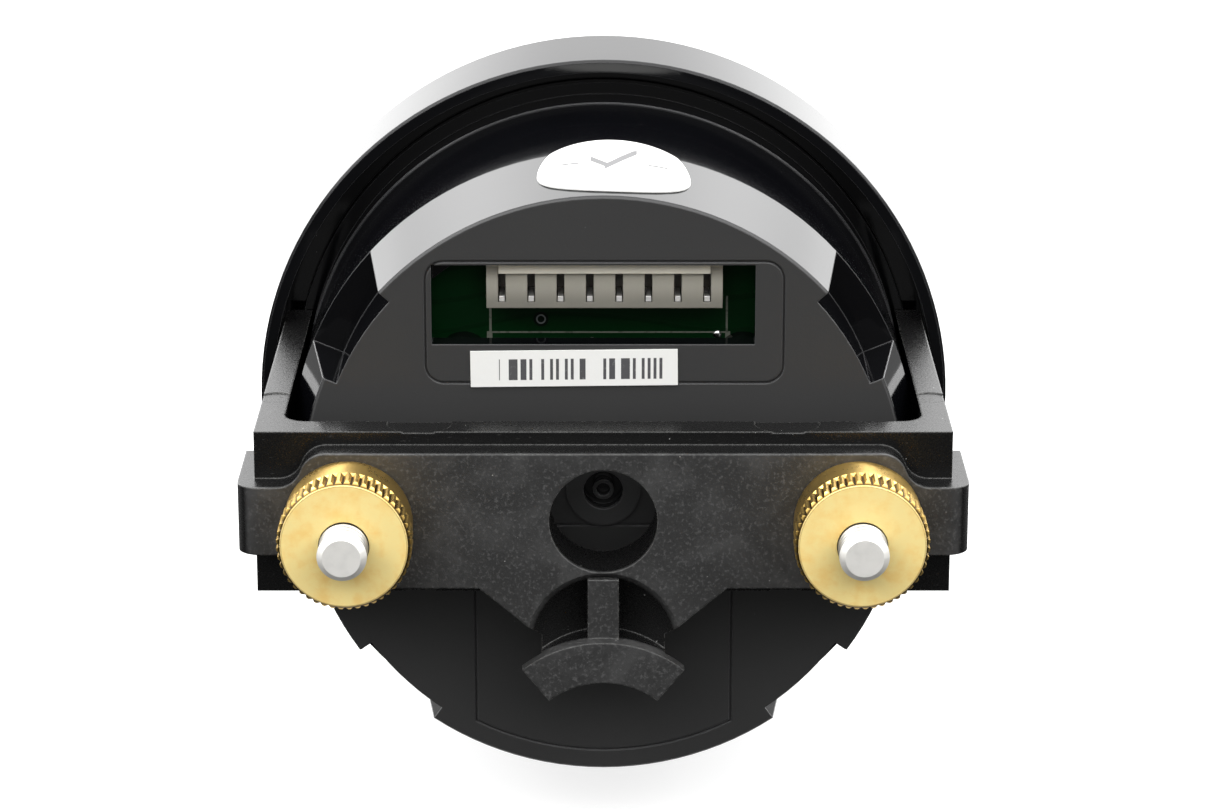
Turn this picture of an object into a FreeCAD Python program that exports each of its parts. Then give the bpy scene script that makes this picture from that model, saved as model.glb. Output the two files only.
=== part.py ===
import FreeCAD, Part
import math
import os

# Round panel gauge of a battery monitor, with its U-shaped clamp bracket.
# Millimetres. The origin is on the gauge's axis, in the plane of the bezel's rear rim,
# where the panel seats. +Y runs forward to the display, -Y back to the connector,
# +Z is up and +X is to the right as seen from behind.

# ---- Body ---------------------------------------------------------------------
BODY_R = 26.0               # cylinder that passes through the panel hole
BODY_DEPTH = 25.8           # from the panel plane back to the flat rear face
REAR_INSET = 1.5            # how much smaller the radius is at the rear face
CONE_LENGTH = 9.0           # length of the tapered rear end
REAR_WALL = 2.0
INNER_R = 24.3              # bore that holds the display stack
SHELF_WIDTH = 1.4           # step in the bore that carries the display board
REAR_BORE_R = 21.8
WITNESS_STEP = 0.12         # raised band near the flange
WITNESS_Y = 0.9
FLANGE_Y = 4.2              # rear face of the flange, inside the bezel's rim
FLANGE_STEP = 1.2
FRONT_Y = 8.2               # front edge of the housing
NOTCH_DEPTH = 1.2
NOTCH_ANGLES = ((47.5, 67.5), (125.0, 145.0), (215.0, 235.0), (292.5, 312.5))
BOSS_R = 3.0
BOSS_HEIGHT = 0.5
BOSS_PIT_R = 1.6
BOSS_PIT_DEPTH = 1.4
GATE_R = 0.85
GATE_BORE_R = 0.55
OUTLINE_WIDTH = 0.2         # fine grooves around the connector panel and the lower pad
OUTLINE_DEPTH = 0.12

# ---- Connector window and header ----------------------------------------------
WINDOW_X = (-13.8, 12.2)
WINDOW_Z = (12.2, 18.8)
PANEL_X = (-14.4, 14.6)
PANEL_Z = (8.9, 19.2)
PANEL_CORNER = 1.6
PAD_HALF_WIDTH = 10.6
PAD_TOP_Z = -3.0
PAD_ARC_R = 22.9
HEADER_CENTRE = (0.1, 16.75)
HEADER_HEIGHT = 3.7
HEADER_WALL = 1.25
HEADER_MOUTH = 0.9          # how far the header's mouth lies inside the rear face
PIN_COUNT = 8
PIN_PITCH = 2.36
PIN_SIZE = 0.44
SLOT_WIDTH = 0.62
SLOT_Z = (-1.3, 1.1)        # from the header's centre
HEADER_LIP = 0.35

# ---- Bezel, lens and gasket -----------------------------------------------------
GROOVE_WIDTH = 1.7          # annular gap between flange and rim, for the bracket's feet
RIM_WALL = 1.1
GROOVE_FLOOR_Y = 5.6
BEZEL_FRONT_Y = 11.0
BEZEL_EDGE = 0.7
LIP_THICKNESS = 0.8
LIP_R = 24.4
LENS_THICKNESS = 1.2
GASKET_HEIGHT = 0.8
GASKET_WIDTH = 1.0
SNAP_GAP = 0.05             # clearance of the bezel on the flange

# ---- Boards -----------------------------------------------------------------------
BOARD_THICKNESS = 1.6
BOARD_GAP = 0.3
MAIN_BOARD_BACK = 2.6       # from the inside of the rear wall to the main board
POST_Z = 9.8                # the posts stand above and below the display
POST_GAP = 0.316            # from the screws' heads to the display frame
POST_R = 2.2
SPACER_R = 2.1
SPACER_STUD_R = 1.1
SPACER_STUD_LENGTH = 3.8
SCREW_HEAD_R = 2.0
SCREW_HEAD_HEIGHT = 0.81
SCREW_LENGTH = 5.0
HOLE_GAP = 0.15             # radial, round the spacers' studs and the screws

# ---- Display stack ------------------------------------------------------------------
DISPLAY_BOARD_Y = -2.6      # rear face, on the housing's shelf
FACEPLATE_THICKNESS = 0.8
FACEPLATE_FRONT_Y = 6.4
DISPLAY_SIZE = (26.0, 12.0)
DISPLAY_Z = 0.0
DRIVER_SIZE = (10.0, 7.0, 1.7)
DISPLAY_PIN_R = 0.25
DISPLAY_PIN_PITCH = 2.54
DISPLAY_PIN_COLUMNS = 6
DISPLAY_PIN_ROW = 5.08      # from the display's middle to each row
DISPLAY_PIN_LENGTH = 1.4    # past the board
FIT_GAP = 0.15              # between pieces that drop into each other
LED_COUNT = 24
LED_RING_R = 20.5
LED_SIZE = (1.6, 0.8, 0.8)
LED_SWEEP = 11.25           # degrees from one light to the next
GUIDE_HALF_WIDTH = 1.9
GUIDE_TOOTH_DEGREES = 7.5
GUIDE_TOOTH_HALF = 1.3
FRAME_WALL = 1.1
FRAME_FLOOR = 0.9

# ---- Main board components: width, height, thickness ------------------------------------
CHIP_SIZE = (9.0, 9.0, 1.4)
CHIP_CENTRE = (-5.0, 2.5)
INDUCTOR_SIZE = (7.0, 7.0, 3.6)
INDUCTOR_CENTRE = (6.5, 4.0)
REGULATOR_SIZE = (6.5, 6.0, 2.3)
REGULATOR_TAB = (5.2, 1.2, 0.6)
REGULATOR_Z = -4.6
CAPACITOR_R = 3.5
CAPACITOR_HEIGHT = 10.0
CAPACITOR_Z = -5.8
CAPACITOR_GROOVE = (1.4, 2.2, 0.3)   # from, to and depth
DIODE_SIZE = (4.4, 2.6, 2.2)
DIODE_Z = -5.5
COMPONENT_GAP = 0.3
DIODE_GAP = 1.2
REGULATOR_GAP = 0.55
LINK_SIZE = (13.0, 5.0)
LINK_PINS = 5
LINK_PITCH = 2.54
LINK_PIN = 0.6
LINK_PIN_HOLE = 0.8
LINK_SOCKET_HEIGHT = 8.5
LINK_PLUG_HEIGHT = 2.5
LINK_GAP = 0.2              # from the spacers

# ---- Studs and nuts -------------------------------------------------------------------
STUD_X = 20.2
STUD_R = 1.95
STUD_PITCH = 0.7
STUD_THREAD_DEPTH = 0.28
STUD_TIP_CHAMFER = 0.45
STUD_PROUD = 2.9            # stands out past the nut
INSERT_R = 2.9
INSERT_LENGTH = 6.6
INSERT_BOSS_WALL = 1.3
NUT_R = 5.3
NUT_COLLAR_R = 5.12
NUT_COLLAR = 3.6
NUT_THICKNESS = 6.0
NUT_TEETH = 48
NUT_TOOTH_DEPTH = 0.28
NUT_CHAMFER = 0.35
NUT_GAP = 0.05              # running clearance on the stud

# ---- Clamp bracket ---------------------------------------------------------------------
LEG_CLEARANCE = 0.5         # round the body
LEG_WALL = 1.3              # at the bracket's mid-height
LEG_FOOT_GAP = 0.1          # between the feet and the flange
RIM_CLEARANCE = 0.25        # between the feet's corners and the rim
BRACKET_HALF_HEIGHT = 6.7
WALL_GAP = 3.1              # from the rear face to the cross wall
WALL = 2.8
PLATE = 2.5                 # raised pad behind the cross wall
PLATE_HALF_HEIGHT = 5.6
EAR_HALF_HEIGHT = 2.8
EAR_OVERHANG = 1.3          # past the leg's outer face
EAR_LENGTH = 9.8
EAR_ROUND = 1.8
SHOULDER_X = (22.0, 25.9)
INNER_ROUND = 1.9
CENTRE_HOLE_R = 4.3
STUD_HOLE_GAP = 0.3
FUNNEL_TOP_HALF = 9.9
NECK_R = (6.9, 10.3)        # inner and outer radius of the hooked tab
NECK_CENTRE_Z = -20.15
NECK_HALF_DEGREES = 28.7
HEAD_HALF_DEGREES = 39.0
HEAD = 1.1
SCOOP_R = 9.0
SCOOP_BELOW_NECK = 0.7
RIB_WIDTH = 2.45
RIB_TOP_Z = -4.9
MARK_DEPTH = 0.1            # ejector pin marks

# ---- Labels ------------------------------------------------------------------------------
LABEL_THICKNESS = 0.12
LABEL_X = (-10.7, 6.0)
LABEL_Z = (8.75, 11.75)
LABEL_TILT = -0.6
STICKER_HALF_WIDTH = 6.2
STICKER_LENGTH = 11.7       # over the tapered end and on to the cylinder
STICKER_X = 0.85
STICKER_FROM_REAR = 0.9

# ---- Worked out from the sizes above ---------------------------------------------------------
BACK_Y = -BODY_DEPTH
BACK_R = BODY_R - REAR_INSET
FLANGE_R = BODY_R + FLANGE_STEP
RIM_INNER_R = FLANGE_R + GROOVE_WIDTH
BEZEL_R = RIM_INNER_R + RIM_WALL
LENS_Y = FRONT_Y + GASKET_HEIGHT
LENS_R = FLANGE_R - 0.8
MAIN_BOARD_Y = BACK_Y + REAR_WALL + MAIN_BOARD_BACK
MAIN_FRONT_Y = MAIN_BOARD_Y + BOARD_THICKNESS
DISPLAY_FRONT_Y = DISPLAY_BOARD_Y + BOARD_THICKNESS
FACEPLATE_Y = FACEPLATE_FRONT_Y - FACEPLATE_THICKNESS
WALL_FRONT_Y = BACK_Y - WALL_GAP
WALL_REAR_Y = WALL_FRONT_Y - WALL
PLATE_REAR_Y = WALL_REAR_Y - PLATE
NUT_REAR_Y = PLATE_REAR_Y - NUT_THICKNESS
STUD_TIP_Y = NUT_REAR_Y - STUD_PROUD
LEG_INNER_R = BODY_R + LEG_CLEARANCE
LEG_OUTER_X = LEG_INNER_R + LEG_WALL
LEG_INNER_X = math.sqrt(LEG_INNER_R ** 2 - BRACKET_HALF_HEIGHT ** 2)
FOOT_Y = FLANGE_Y - LEG_FOOT_GAP
EJECTOR_MARKS = ((LEG_INNER_X + 1.1, WALL_REAR_Y + 9.4, 1.4), (14.7, WALL_FRONT_Y - 0.5, 2.6))
NECK_TOP_Z = NECK_CENTRE_Z + NECK_R[1]
FRAME_INNER_R = LED_RING_R - GUIDE_HALF_WIDTH - FIT_GAP - FRAME_WALL
POST_X = math.sqrt((FRAME_INNER_R - POST_GAP - SCREW_HEAD_R) ** 2 - POST_Z ** 2)
POSTS = ((-POST_X, -POST_Z), (POST_X, -POST_Z), (-POST_X, POST_Z), (POST_X, POST_Z))
CAPACITOR_X = -(POST_X - SPACER_R - COMPONENT_GAP - CAPACITOR_R)
DIODE_X = CAPACITOR_X + CAPACITOR_R + DIODE_GAP + DIODE_SIZE[0] / 2
REGULATOR_X = DIODE_X + DIODE_SIZE[0] / 2 + REGULATOR_GAP + REGULATOR_SIZE[0] / 2
LINK_Z = -(POST_Z + SPACER_R + LINK_GAP + LINK_SIZE[1] / 2)
STUD_XS = (-STUD_X, STUD_X)


def vec(x, y, z):
    return FreeCAD.Vector(x, y, z)


def rod(radius, y0, y1, x=0.0, z=0.0):
    """Cylinder along Y."""
    return Part.makeCylinder(radius, y1 - y0, vec(x, y0, z), vec(0, 1, 0))


def block(xs, ys, zs):
    """Box from three (low, high) pairs."""
    return Part.makeBox(xs[1] - xs[0], ys[1] - ys[0], zs[1] - zs[0], vec(xs[0], ys[0], zs[0]))


def centred_block(x, z, size_x, size_z, ys):
    return block((x - size_x / 2, x + size_x / 2), ys, (z - size_z / 2, z + size_z / 2))


def turned(points):
    """Solid of revolution round the Y axis from a closed outline of (radius, y) points."""
    wire = Part.makePolygon([vec(r, y, 0) for r, y in points + [points[0]]])
    return Part.Face(wire).revolve(vec(0, 0, 0), vec(0, 1, 0), 360)


def tube(outer, inner, y0, y1):
    return turned([(inner, y0), (outer, y0), (outer, y1), (inner, y1)])


def polar(radius, degrees, y, centre_z=0.0):
    """Point at an angle measured from +Z towards +X."""
    angle = math.radians(degrees)
    return vec(radius * math.sin(angle), y, centre_z + radius * math.cos(angle))


def sector(r_in, r_out, a0, a1, y0, y1, centre_z=0.0):
    """Part of a ring between two angles."""
    middle = (a0 + a1) / 2
    corners = [polar(r_in, a0, y0, centre_z), polar(r_out, a0, y0, centre_z),
               polar(r_out, a1, y0, centre_z), polar(r_in, a1, y0, centre_z)]
    edges = [
        Part.makeLine(corners[0], corners[1]),
        Part.Arc(corners[1], polar(r_out, middle, y0, centre_z), corners[2]).toShape(),
        Part.makeLine(corners[2], corners[3]),
        Part.Arc(corners[3], polar(r_in, middle, y0, centre_z), corners[0]).toShape(),
    ]
    return Part.Face(Part.Wire(edges)).extrude(vec(0, y1 - y0, 0))


def rounded_rectangle(xs, zs, radius, y):
    """Closed wire in a plane of constant y, with round corners."""
    x0, x1 = xs
    z0, z1 = zs
    cut = radius * (1 - math.sqrt(0.5))
    corners = [
        ((x1 - radius, z0), (x1 - cut, z0 + cut), (x1, z0 + radius)),
        ((x1, z1 - radius), (x1 - cut, z1 - cut), (x1 - radius, z1)),
        ((x0 + radius, z1), (x0 + cut, z1 - cut), (x0, z1 - radius)),
        ((x0, z0 + radius), (x0 + cut, z0 + cut), (x0 + radius, z0)),
    ]
    edges = []
    for index, corner in enumerate(corners):
        points = [vec(x, y, z) for x, z in corner]
        following = corners[(index + 1) % 4][0]
        edges.append(Part.Arc(*points).toShape())
        edges.append(Part.makeLine(points[2], vec(following[0], y, following[1])))
    return Part.Wire(edges)


def package(centre, size, y):
    """Component of a given width, height and thickness, standing forward from y."""
    return centred_block(centre[0], centre[1], size[0], size[1], (y, y + size[2]))


def fused(shapes):
    return shapes[0].multiFuse(shapes[1:]).removeSplitter()


def make_outline_grooves():
    """Fine grooves round the connector panel and round the lower pad of the rear face."""
    depth = vec(0, OUTLINE_DEPTH, 0)
    outer = Part.Face(rounded_rectangle(PANEL_X, PANEL_Z, PANEL_CORNER, BACK_Y))
    inner_x = (PANEL_X[0] + OUTLINE_WIDTH, PANEL_X[1] - OUTLINE_WIDTH)
    inner_z = (PANEL_Z[0] + OUTLINE_WIDTH, PANEL_Z[1] - OUTLINE_WIDTH)
    inner_corner = PANEL_CORNER - OUTLINE_WIDTH
    inner = Part.Face(rounded_rectangle(inner_x, inner_z, inner_corner, BACK_Y))
    panel = outer.extrude(depth).cut(inner.extrude(depth))
    pads = []
    for inset in (0.0, OUTLINE_WIDTH):
        half = PAD_HALF_WIDTH - inset
        pad = block((-half, half), (BACK_Y, BACK_Y + OUTLINE_DEPTH), (-BODY_R, PAD_TOP_Z - inset))
        pads.append(pad.common(rod(PAD_ARC_R - inset, BACK_Y - 1, BACK_Y + 1)))
    return [panel, pads[0].cut(pads[1])]


def make_housing():
    shelf_r = INNER_R - SHELF_WIDTH
    bore_step_y = BACK_Y + CONE_LENGTH + 0.8
    floor_y = BACK_Y + REAR_WALL
    shell = turned([
        (0, BACK_Y), (BACK_R - 0.2, BACK_Y), (BACK_R, BACK_Y + 0.2),
        (BODY_R, BACK_Y + CONE_LENGTH), (BODY_R, WITNESS_Y), (BODY_R + WITNESS_STEP, WITNESS_Y),
        (BODY_R + WITNESS_STEP, FLANGE_Y), (FLANGE_R, FLANGE_Y), (FLANGE_R, FRONT_Y),
        (INNER_R, FRONT_Y), (INNER_R, DISPLAY_BOARD_Y), (shelf_r, DISPLAY_BOARD_Y),
        (shelf_r, bore_step_y + 1.5), (REAR_BORE_R, bore_step_y), (REAR_BORE_R, floor_y), (0, floor_y),
    ])
    adds = [rod(BOSS_R, BACK_Y - BOSS_HEIGHT, BACK_Y + 0.5)]
    for x, z in POSTS:
        adds.append(rod(POST_R, floor_y - 0.5, MAIN_BOARD_Y, x, z))
    bore = rod(REAR_BORE_R + 0.5, floor_y - 0.5, BACK_Y + INSERT_LENGTH + 1.0)
    for x in STUD_XS:
        boss = rod(INSERT_R + INSERT_BOSS_WALL, floor_y - 0.5, BACK_Y + INSERT_LENGTH + 1.0, x)
        adds.append(boss.common(bore))
    shell = fused([shell] + adds)
    cuts = make_outline_grooves()
    cuts.append(block(WINDOW_X, (BACK_Y - 1, floor_y + 1), WINDOW_Z))
    for a0, a1 in NOTCH_ANGLES:
        cuts.append(sector(BACK_R - NOTCH_DEPTH, BODY_R + 2, a0, a1, BACK_Y - 1, BACK_Y + CONE_LENGTH))
    pit = rod(BOSS_PIT_R, BACK_Y - BOSS_HEIGHT - 1, BACK_Y - BOSS_HEIGHT + BOSS_PIT_DEPTH)
    gate = tube(GATE_R, GATE_BORE_R, BACK_Y - BOSS_HEIGHT + 0.3, BACK_Y + BOSS_PIT_DEPTH)
    cuts.append(pit.cut(gate))
    for x, z in POSTS:
        cuts.append(rod(SPACER_STUD_R, MAIN_FRONT_Y - SPACER_STUD_LENGTH, MAIN_BOARD_Y + 1, x, z))
    for x in STUD_XS:
        cuts.append(rod(STUD_R, BACK_Y - 1, floor_y, x))
        cuts.append(rod(INSERT_R, BACK_Y + 1.0, BACK_Y + INSERT_LENGTH + 2.0, x))
    for shape in cuts:
        shell = shell.cut(shape)
    return shell


def make_bezel():
    lens_bore = LENS_R + FIT_GAP
    lip_y = LENS_Y + LENS_THICKNESS
    step = BEZEL_EDGE
    return turned([
        (RIM_INNER_R, 0), (BEZEL_R - 0.2, 0), (BEZEL_R, 0.2),
        (BEZEL_R, BEZEL_FRONT_Y - step), (BEZEL_R - 0.3 * step, BEZEL_FRONT_Y - 0.3 * step),
        (BEZEL_R - step, BEZEL_FRONT_Y), (LIP_R + 0.6, BEZEL_FRONT_Y), (LIP_R, lip_y + 0.2),
        (LIP_R, lip_y), (lens_bore, lip_y), (lens_bore, FRONT_Y), (FLANGE_R + SNAP_GAP, FRONT_Y),
        (FLANGE_R + SNAP_GAP, GROOVE_FLOOR_Y), (RIM_INNER_R, GROOVE_FLOOR_Y),
    ])


def make_lens():
    edge = 0.25
    y0, y1 = LENS_Y, LENS_Y + LENS_THICKNESS
    return turned([(0, y0), (LENS_R - edge, y0), (LENS_R, y0 + edge), (LENS_R, y1 - edge),
                   (LENS_R - edge, y1), (0, y1)])


def make_gasket():
    middle_r = (INNER_R + LENS_R) / 2
    return tube(middle_r + GASKET_WIDTH / 2, middle_r - GASKET_WIDTH / 2, FRONT_Y, LENS_Y)


def make_dial_spacer():
    return tube(INNER_R - FIT_GAP, INNER_R - FIT_GAP - 1.0, FACEPLATE_FRONT_Y, LENS_Y)


def light_angles():
    start = -LED_SWEEP * (LED_COUNT - 1) / 2
    return [start + LED_SWEEP * index for index in range(LED_COUNT)]


def guide_teeth(gap, y0, y1):
    r0 = LED_RING_R - GUIDE_TOOTH_HALF - gap
    r1 = LED_RING_R + GUIDE_TOOTH_HALF + gap
    half = GUIDE_TOOTH_DEGREES / 2 + math.degrees(gap / LED_RING_R)
    return [sector(r0, r1, a - half, a + half, y0, y1) for a in light_angles()]


def make_faceplate():
    plate = rod(INNER_R - FIT_GAP, FACEPLATE_Y, FACEPLATE_FRONT_Y)
    width, height = (size + 2 * FIT_GAP for size in DISPLAY_SIZE)
    ys = (FACEPLATE_Y - 1, FACEPLATE_FRONT_Y + 1)
    plate = plate.cut(centred_block(0, DISPLAY_Z, width, height, ys))
    return plate.cut(guide_teeth(FIT_GAP, FACEPLATE_Y - 1, FACEPLATE_FRONT_Y + 1))


def make_light_guide():
    base_y = DISPLAY_FRONT_Y + FRAME_FLOOR
    ring = tube(LED_RING_R + GUIDE_HALF_WIDTH, LED_RING_R - GUIDE_HALF_WIDTH, base_y, FACEPLATE_Y)
    return fused([ring] + guide_teeth(0.0, FACEPLATE_Y - 0.2, FACEPLATE_FRONT_Y))


def make_display_frame():
    outer = INNER_R - FIT_GAP
    guide_out = LED_RING_R + GUIDE_HALF_WIDTH + FIT_GAP
    guide_in = FRAME_INNER_R + FRAME_WALL
    floor_y = DISPLAY_FRONT_Y + FRAME_FLOOR
    frame = turned([
        (FRAME_INNER_R, DISPLAY_FRONT_Y), (outer, DISPLAY_FRONT_Y), (outer, FACEPLATE_Y),
        (guide_out, FACEPLATE_Y), (guide_out, floor_y), (guide_in, floor_y),
        (guide_in, FACEPLATE_Y), (FRAME_INNER_R, FACEPLATE_Y),
    ])
    cuts = [turn_about_axis(led_block(0.2, DISPLAY_FRONT_Y - 0.5, floor_y + 0.5), angle)
            for angle in light_angles()]
    width, height = (size + 2 * FIT_GAP for size in DISPLAY_SIZE)
    cuts.append(centred_block(0, DISPLAY_Z, width, height, (DISPLAY_FRONT_Y - 1, FACEPLATE_Y + 1)))
    return frame.cut(cuts)


def led_block(gap, y0, y1):
    return centred_block(0, LED_RING_R, LED_SIZE[0] + 2 * gap, LED_SIZE[1] + 2 * gap, (y0, y1))


def turn_about_axis(shape, degrees):
    turned_copy = shape.copy()
    turned_copy.rotate(vec(0, 0, 0), vec(0, 1, 0), degrees)
    return turned_copy


def make_indicator_leds():
    led = led_block(0.0, DISPLAY_FRONT_Y, DISPLAY_FRONT_Y + LED_SIZE[2])
    return Part.makeCompound([turn_about_axis(led, angle) for angle in light_angles()])


def display_pin_places():
    middle = (DISPLAY_PIN_COLUMNS - 1) / 2
    columns = [DISPLAY_PIN_PITCH * (index - middle) for index in range(DISPLAY_PIN_COLUMNS)]
    rows = (DISPLAY_Z - DISPLAY_PIN_ROW, DISPLAY_Z + DISPLAY_PIN_ROW)
    return [(x, z) for x in columns for z in rows]


def make_display_module():
    width, height = DISPLAY_SIZE
    return centred_block(0, DISPLAY_Z, width, height, (DISPLAY_FRONT_Y, FACEPLATE_FRONT_Y))


def make_display_pins():
    ys = (DISPLAY_BOARD_Y - DISPLAY_PIN_LENGTH, DISPLAY_FRONT_Y)
    return Part.makeCompound([rod(DISPLAY_PIN_R, *ys, x, z) for x, z in display_pin_places()])


def make_display_board():
    board = rod(INNER_R - FIT_GAP, DISPLAY_BOARD_Y, DISPLAY_FRONT_Y)
    ys = (DISPLAY_BOARD_Y - 1, DISPLAY_FRONT_Y + 1)
    holes = [rod(SPACER_STUD_R + HOLE_GAP, *ys, x, z) for x, z in POSTS]
    holes += [rod(DISPLAY_PIN_R + 0.1, *ys, x, z) for x, z in display_pin_places()]
    return board.cut(holes)


def make_display_driver():
    return package((0, 0), DRIVER_SIZE, DISPLAY_BOARD_Y - DRIVER_SIZE[2])


def link_places():
    middle = (LINK_PINS - 1) / 2
    columns = [LINK_PITCH * (index - middle) for index in range(LINK_PINS)]
    return [(x, LINK_Z + row * LINK_PITCH / 2) for x in columns for row in (-1, 1)]


def make_board_link_socket():
    socket = package((0, LINK_Z), LINK_SIZE + (LINK_SOCKET_HEIGHT,), MAIN_FRONT_Y)
    ys = (MAIN_FRONT_Y + 1, MAIN_FRONT_Y + LINK_SOCKET_HEIGHT + 1)
    return socket.cut([centred_block(x, z, LINK_PIN_HOLE, LINK_PIN_HOLE, ys) for x, z in link_places()])


def make_board_link_plug():
    base = package((0, LINK_Z), LINK_SIZE + (LINK_PLUG_HEIGHT,), DISPLAY_BOARD_Y - LINK_PLUG_HEIGHT)
    ys = (MAIN_FRONT_Y + 3, DISPLAY_BOARD_Y - LINK_PLUG_HEIGHT + 0.5)
    pins = [centred_block(x, z, LINK_PIN, LINK_PIN, ys) for x, z in link_places()]
    return fused([base] + pins)


def make_board_spacers():
    spacers = []
    for x, z in POSTS:
        body = rod(SPACER_R, MAIN_FRONT_Y, DISPLAY_BOARD_Y, x, z)
        stud = rod(SPACER_STUD_R - 0.02, MAIN_FRONT_Y - SPACER_STUD_LENGTH, MAIN_FRONT_Y, x, z)
        bore = rod(SPACER_STUD_R, DISPLAY_BOARD_Y - SCREW_LENGTH, DISPLAY_BOARD_Y + 1, x, z)
        spacers.append(body.fuse(stud).removeSplitter().cut(bore))
    return Part.makeCompound(spacers)


def make_board_screws():
    screws = []
    for x, z in POSTS:
        head = rod(SCREW_HEAD_R, DISPLAY_FRONT_Y, DISPLAY_FRONT_Y + SCREW_HEAD_HEIGHT, x, z)
        shank = rod(SPACER_STUD_R - 0.02, DISPLAY_FRONT_Y - SCREW_LENGTH, DISPLAY_FRONT_Y, x, z)
        screws.append(head.fuse(shank).removeSplitter())
    return Part.makeCompound(screws)


def make_main_board():
    board = rod(REAR_BORE_R - BOARD_GAP, MAIN_BOARD_Y, MAIN_FRONT_Y)
    ys = (MAIN_BOARD_Y - 1, MAIN_FRONT_Y + 1)
    cuts = [rod(INSERT_R + INSERT_BOSS_WALL + BOARD_GAP, ys[0], ys[1], x) for x in STUD_XS]
    cuts += [rod(SPACER_STUD_R + HOLE_GAP, ys[0], ys[1], x, z) for x, z in POSTS]
    cuts += [centred_block(x, z, PIN_SIZE + 0.1, PIN_SIZE + 0.1, ys) for x, z in header_pin_places()]
    return board.cut(cuts)


def header_pin_places():
    x0 = HEADER_CENTRE[0] - PIN_PITCH * (PIN_COUNT - 1) / 2
    z = HEADER_CENTRE[1] + SLOT_Z[0] + PIN_SIZE / 2
    return [(x0 + PIN_PITCH * index, z) for index in range(PIN_COUNT)]


def make_header_body():
    x, z = HEADER_CENTRE
    width = PIN_PITCH * (PIN_COUNT - 1) + 2 * HEADER_WALL
    mouth = BACK_Y + HEADER_MOUTH
    body = centred_block(x, z, width, HEADER_HEIGHT, (mouth + HEADER_LIP, MAIN_BOARD_Y))
    lip_zs = (z + SLOT_Z[1], z + HEADER_HEIGHT / 2)
    lip = block((x - width / 2 + 1, x + width / 2 - 1), (mouth, MAIN_BOARD_Y), lip_zs)
    slots = []
    for slot_x, _ in header_pin_places():
        xs = (slot_x - SLOT_WIDTH / 2, slot_x + SLOT_WIDTH / 2)
        slots.append(block(xs, (mouth - 1, MAIN_BOARD_Y - 0.6), (z + SLOT_Z[0] - 0.05, z + SLOT_Z[1])))
    bores = [centred_block(pin_x, pin_z, PIN_SIZE, PIN_SIZE, (mouth, MAIN_BOARD_Y + 1))
             for pin_x, pin_z in header_pin_places()]
    return fused([body, lip]).cut(slots + bores)


def make_header_pins():
    ys = (BACK_Y + HEADER_MOUTH + HEADER_LIP, MAIN_FRONT_Y + 1.2)
    return Part.makeCompound([centred_block(x, z, PIN_SIZE, PIN_SIZE, ys) for x, z in header_pin_places()])


def make_microcontroller():
    return package(CHIP_CENTRE, CHIP_SIZE, MAIN_FRONT_Y)


def make_regulator():
    body = package((REGULATOR_X, REGULATOR_Z), REGULATOR_SIZE, MAIN_FRONT_Y)
    tab_z = REGULATOR_Z + REGULATOR_SIZE[1] / 2 + REGULATOR_TAB[1] / 2
    return fused([body, package((REGULATOR_X, tab_z), REGULATOR_TAB, MAIN_FRONT_Y)])


def make_capacitor():
    low, high, depth = CAPACITOR_GROOVE
    outline = [
        (0, 0), (CAPACITOR_R, 0), (CAPACITOR_R, low), (CAPACITOR_R - depth, low),
        (CAPACITOR_R - depth, high), (CAPACITOR_R, high), (CAPACITOR_R, CAPACITOR_HEIGHT),
        (0, CAPACITOR_HEIGHT),
    ]
    can = turned([(r, MAIN_FRONT_Y + y) for r, y in outline])
    can.translate(vec(CAPACITOR_X, 0, CAPACITOR_Z))
    return can


def make_inductor():
    return package(INDUCTOR_CENTRE, INDUCTOR_SIZE, MAIN_FRONT_Y)


def make_surge_diode():
    return package((DIODE_X, DIODE_Z), DIODE_SIZE, MAIN_FRONT_Y)


def make_stud_inserts():
    inserts = []
    for x in STUD_XS:
        outer = rod(INSERT_R, BACK_Y + 1.0, BACK_Y + 1.0 + INSERT_LENGTH, x)
        inserts.append(outer.cut(rod(STUD_R, BACK_Y, BACK_Y + INSERT_LENGTH, x)))
    return Part.makeCompound(inserts)


def stud_outline():
    """Thread drawn as rings at the thread's pitch, from the tip to the rear face."""
    core = STUD_R - STUD_THREAD_DEPTH
    tip_end = STUD_TIP_Y + STUD_TIP_CHAMFER
    points = [(0, STUD_TIP_Y), (STUD_R - STUD_TIP_CHAMFER, STUD_TIP_Y), (STUD_R, tip_end)]
    y = tip_end + 0.1
    while y + STUD_PITCH < BACK_Y:
        points += [(STUD_R, y), (core, y + 0.4 * STUD_PITCH), (core, y + 0.5 * STUD_PITCH),
                   (STUD_R, y + 0.9 * STUD_PITCH)]
        y += STUD_PITCH
    points += [(STUD_R, BACK_Y + INSERT_LENGTH), (0, BACK_Y + INSERT_LENGTH)]
    return points


def make_mounting_studs():
    studs = []
    for x in STUD_XS:
        stud = turned(stud_outline())
        stud.translate(vec(x, 0, 0))
        studs.append(stud)
    return Part.makeCompound(studs)


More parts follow.
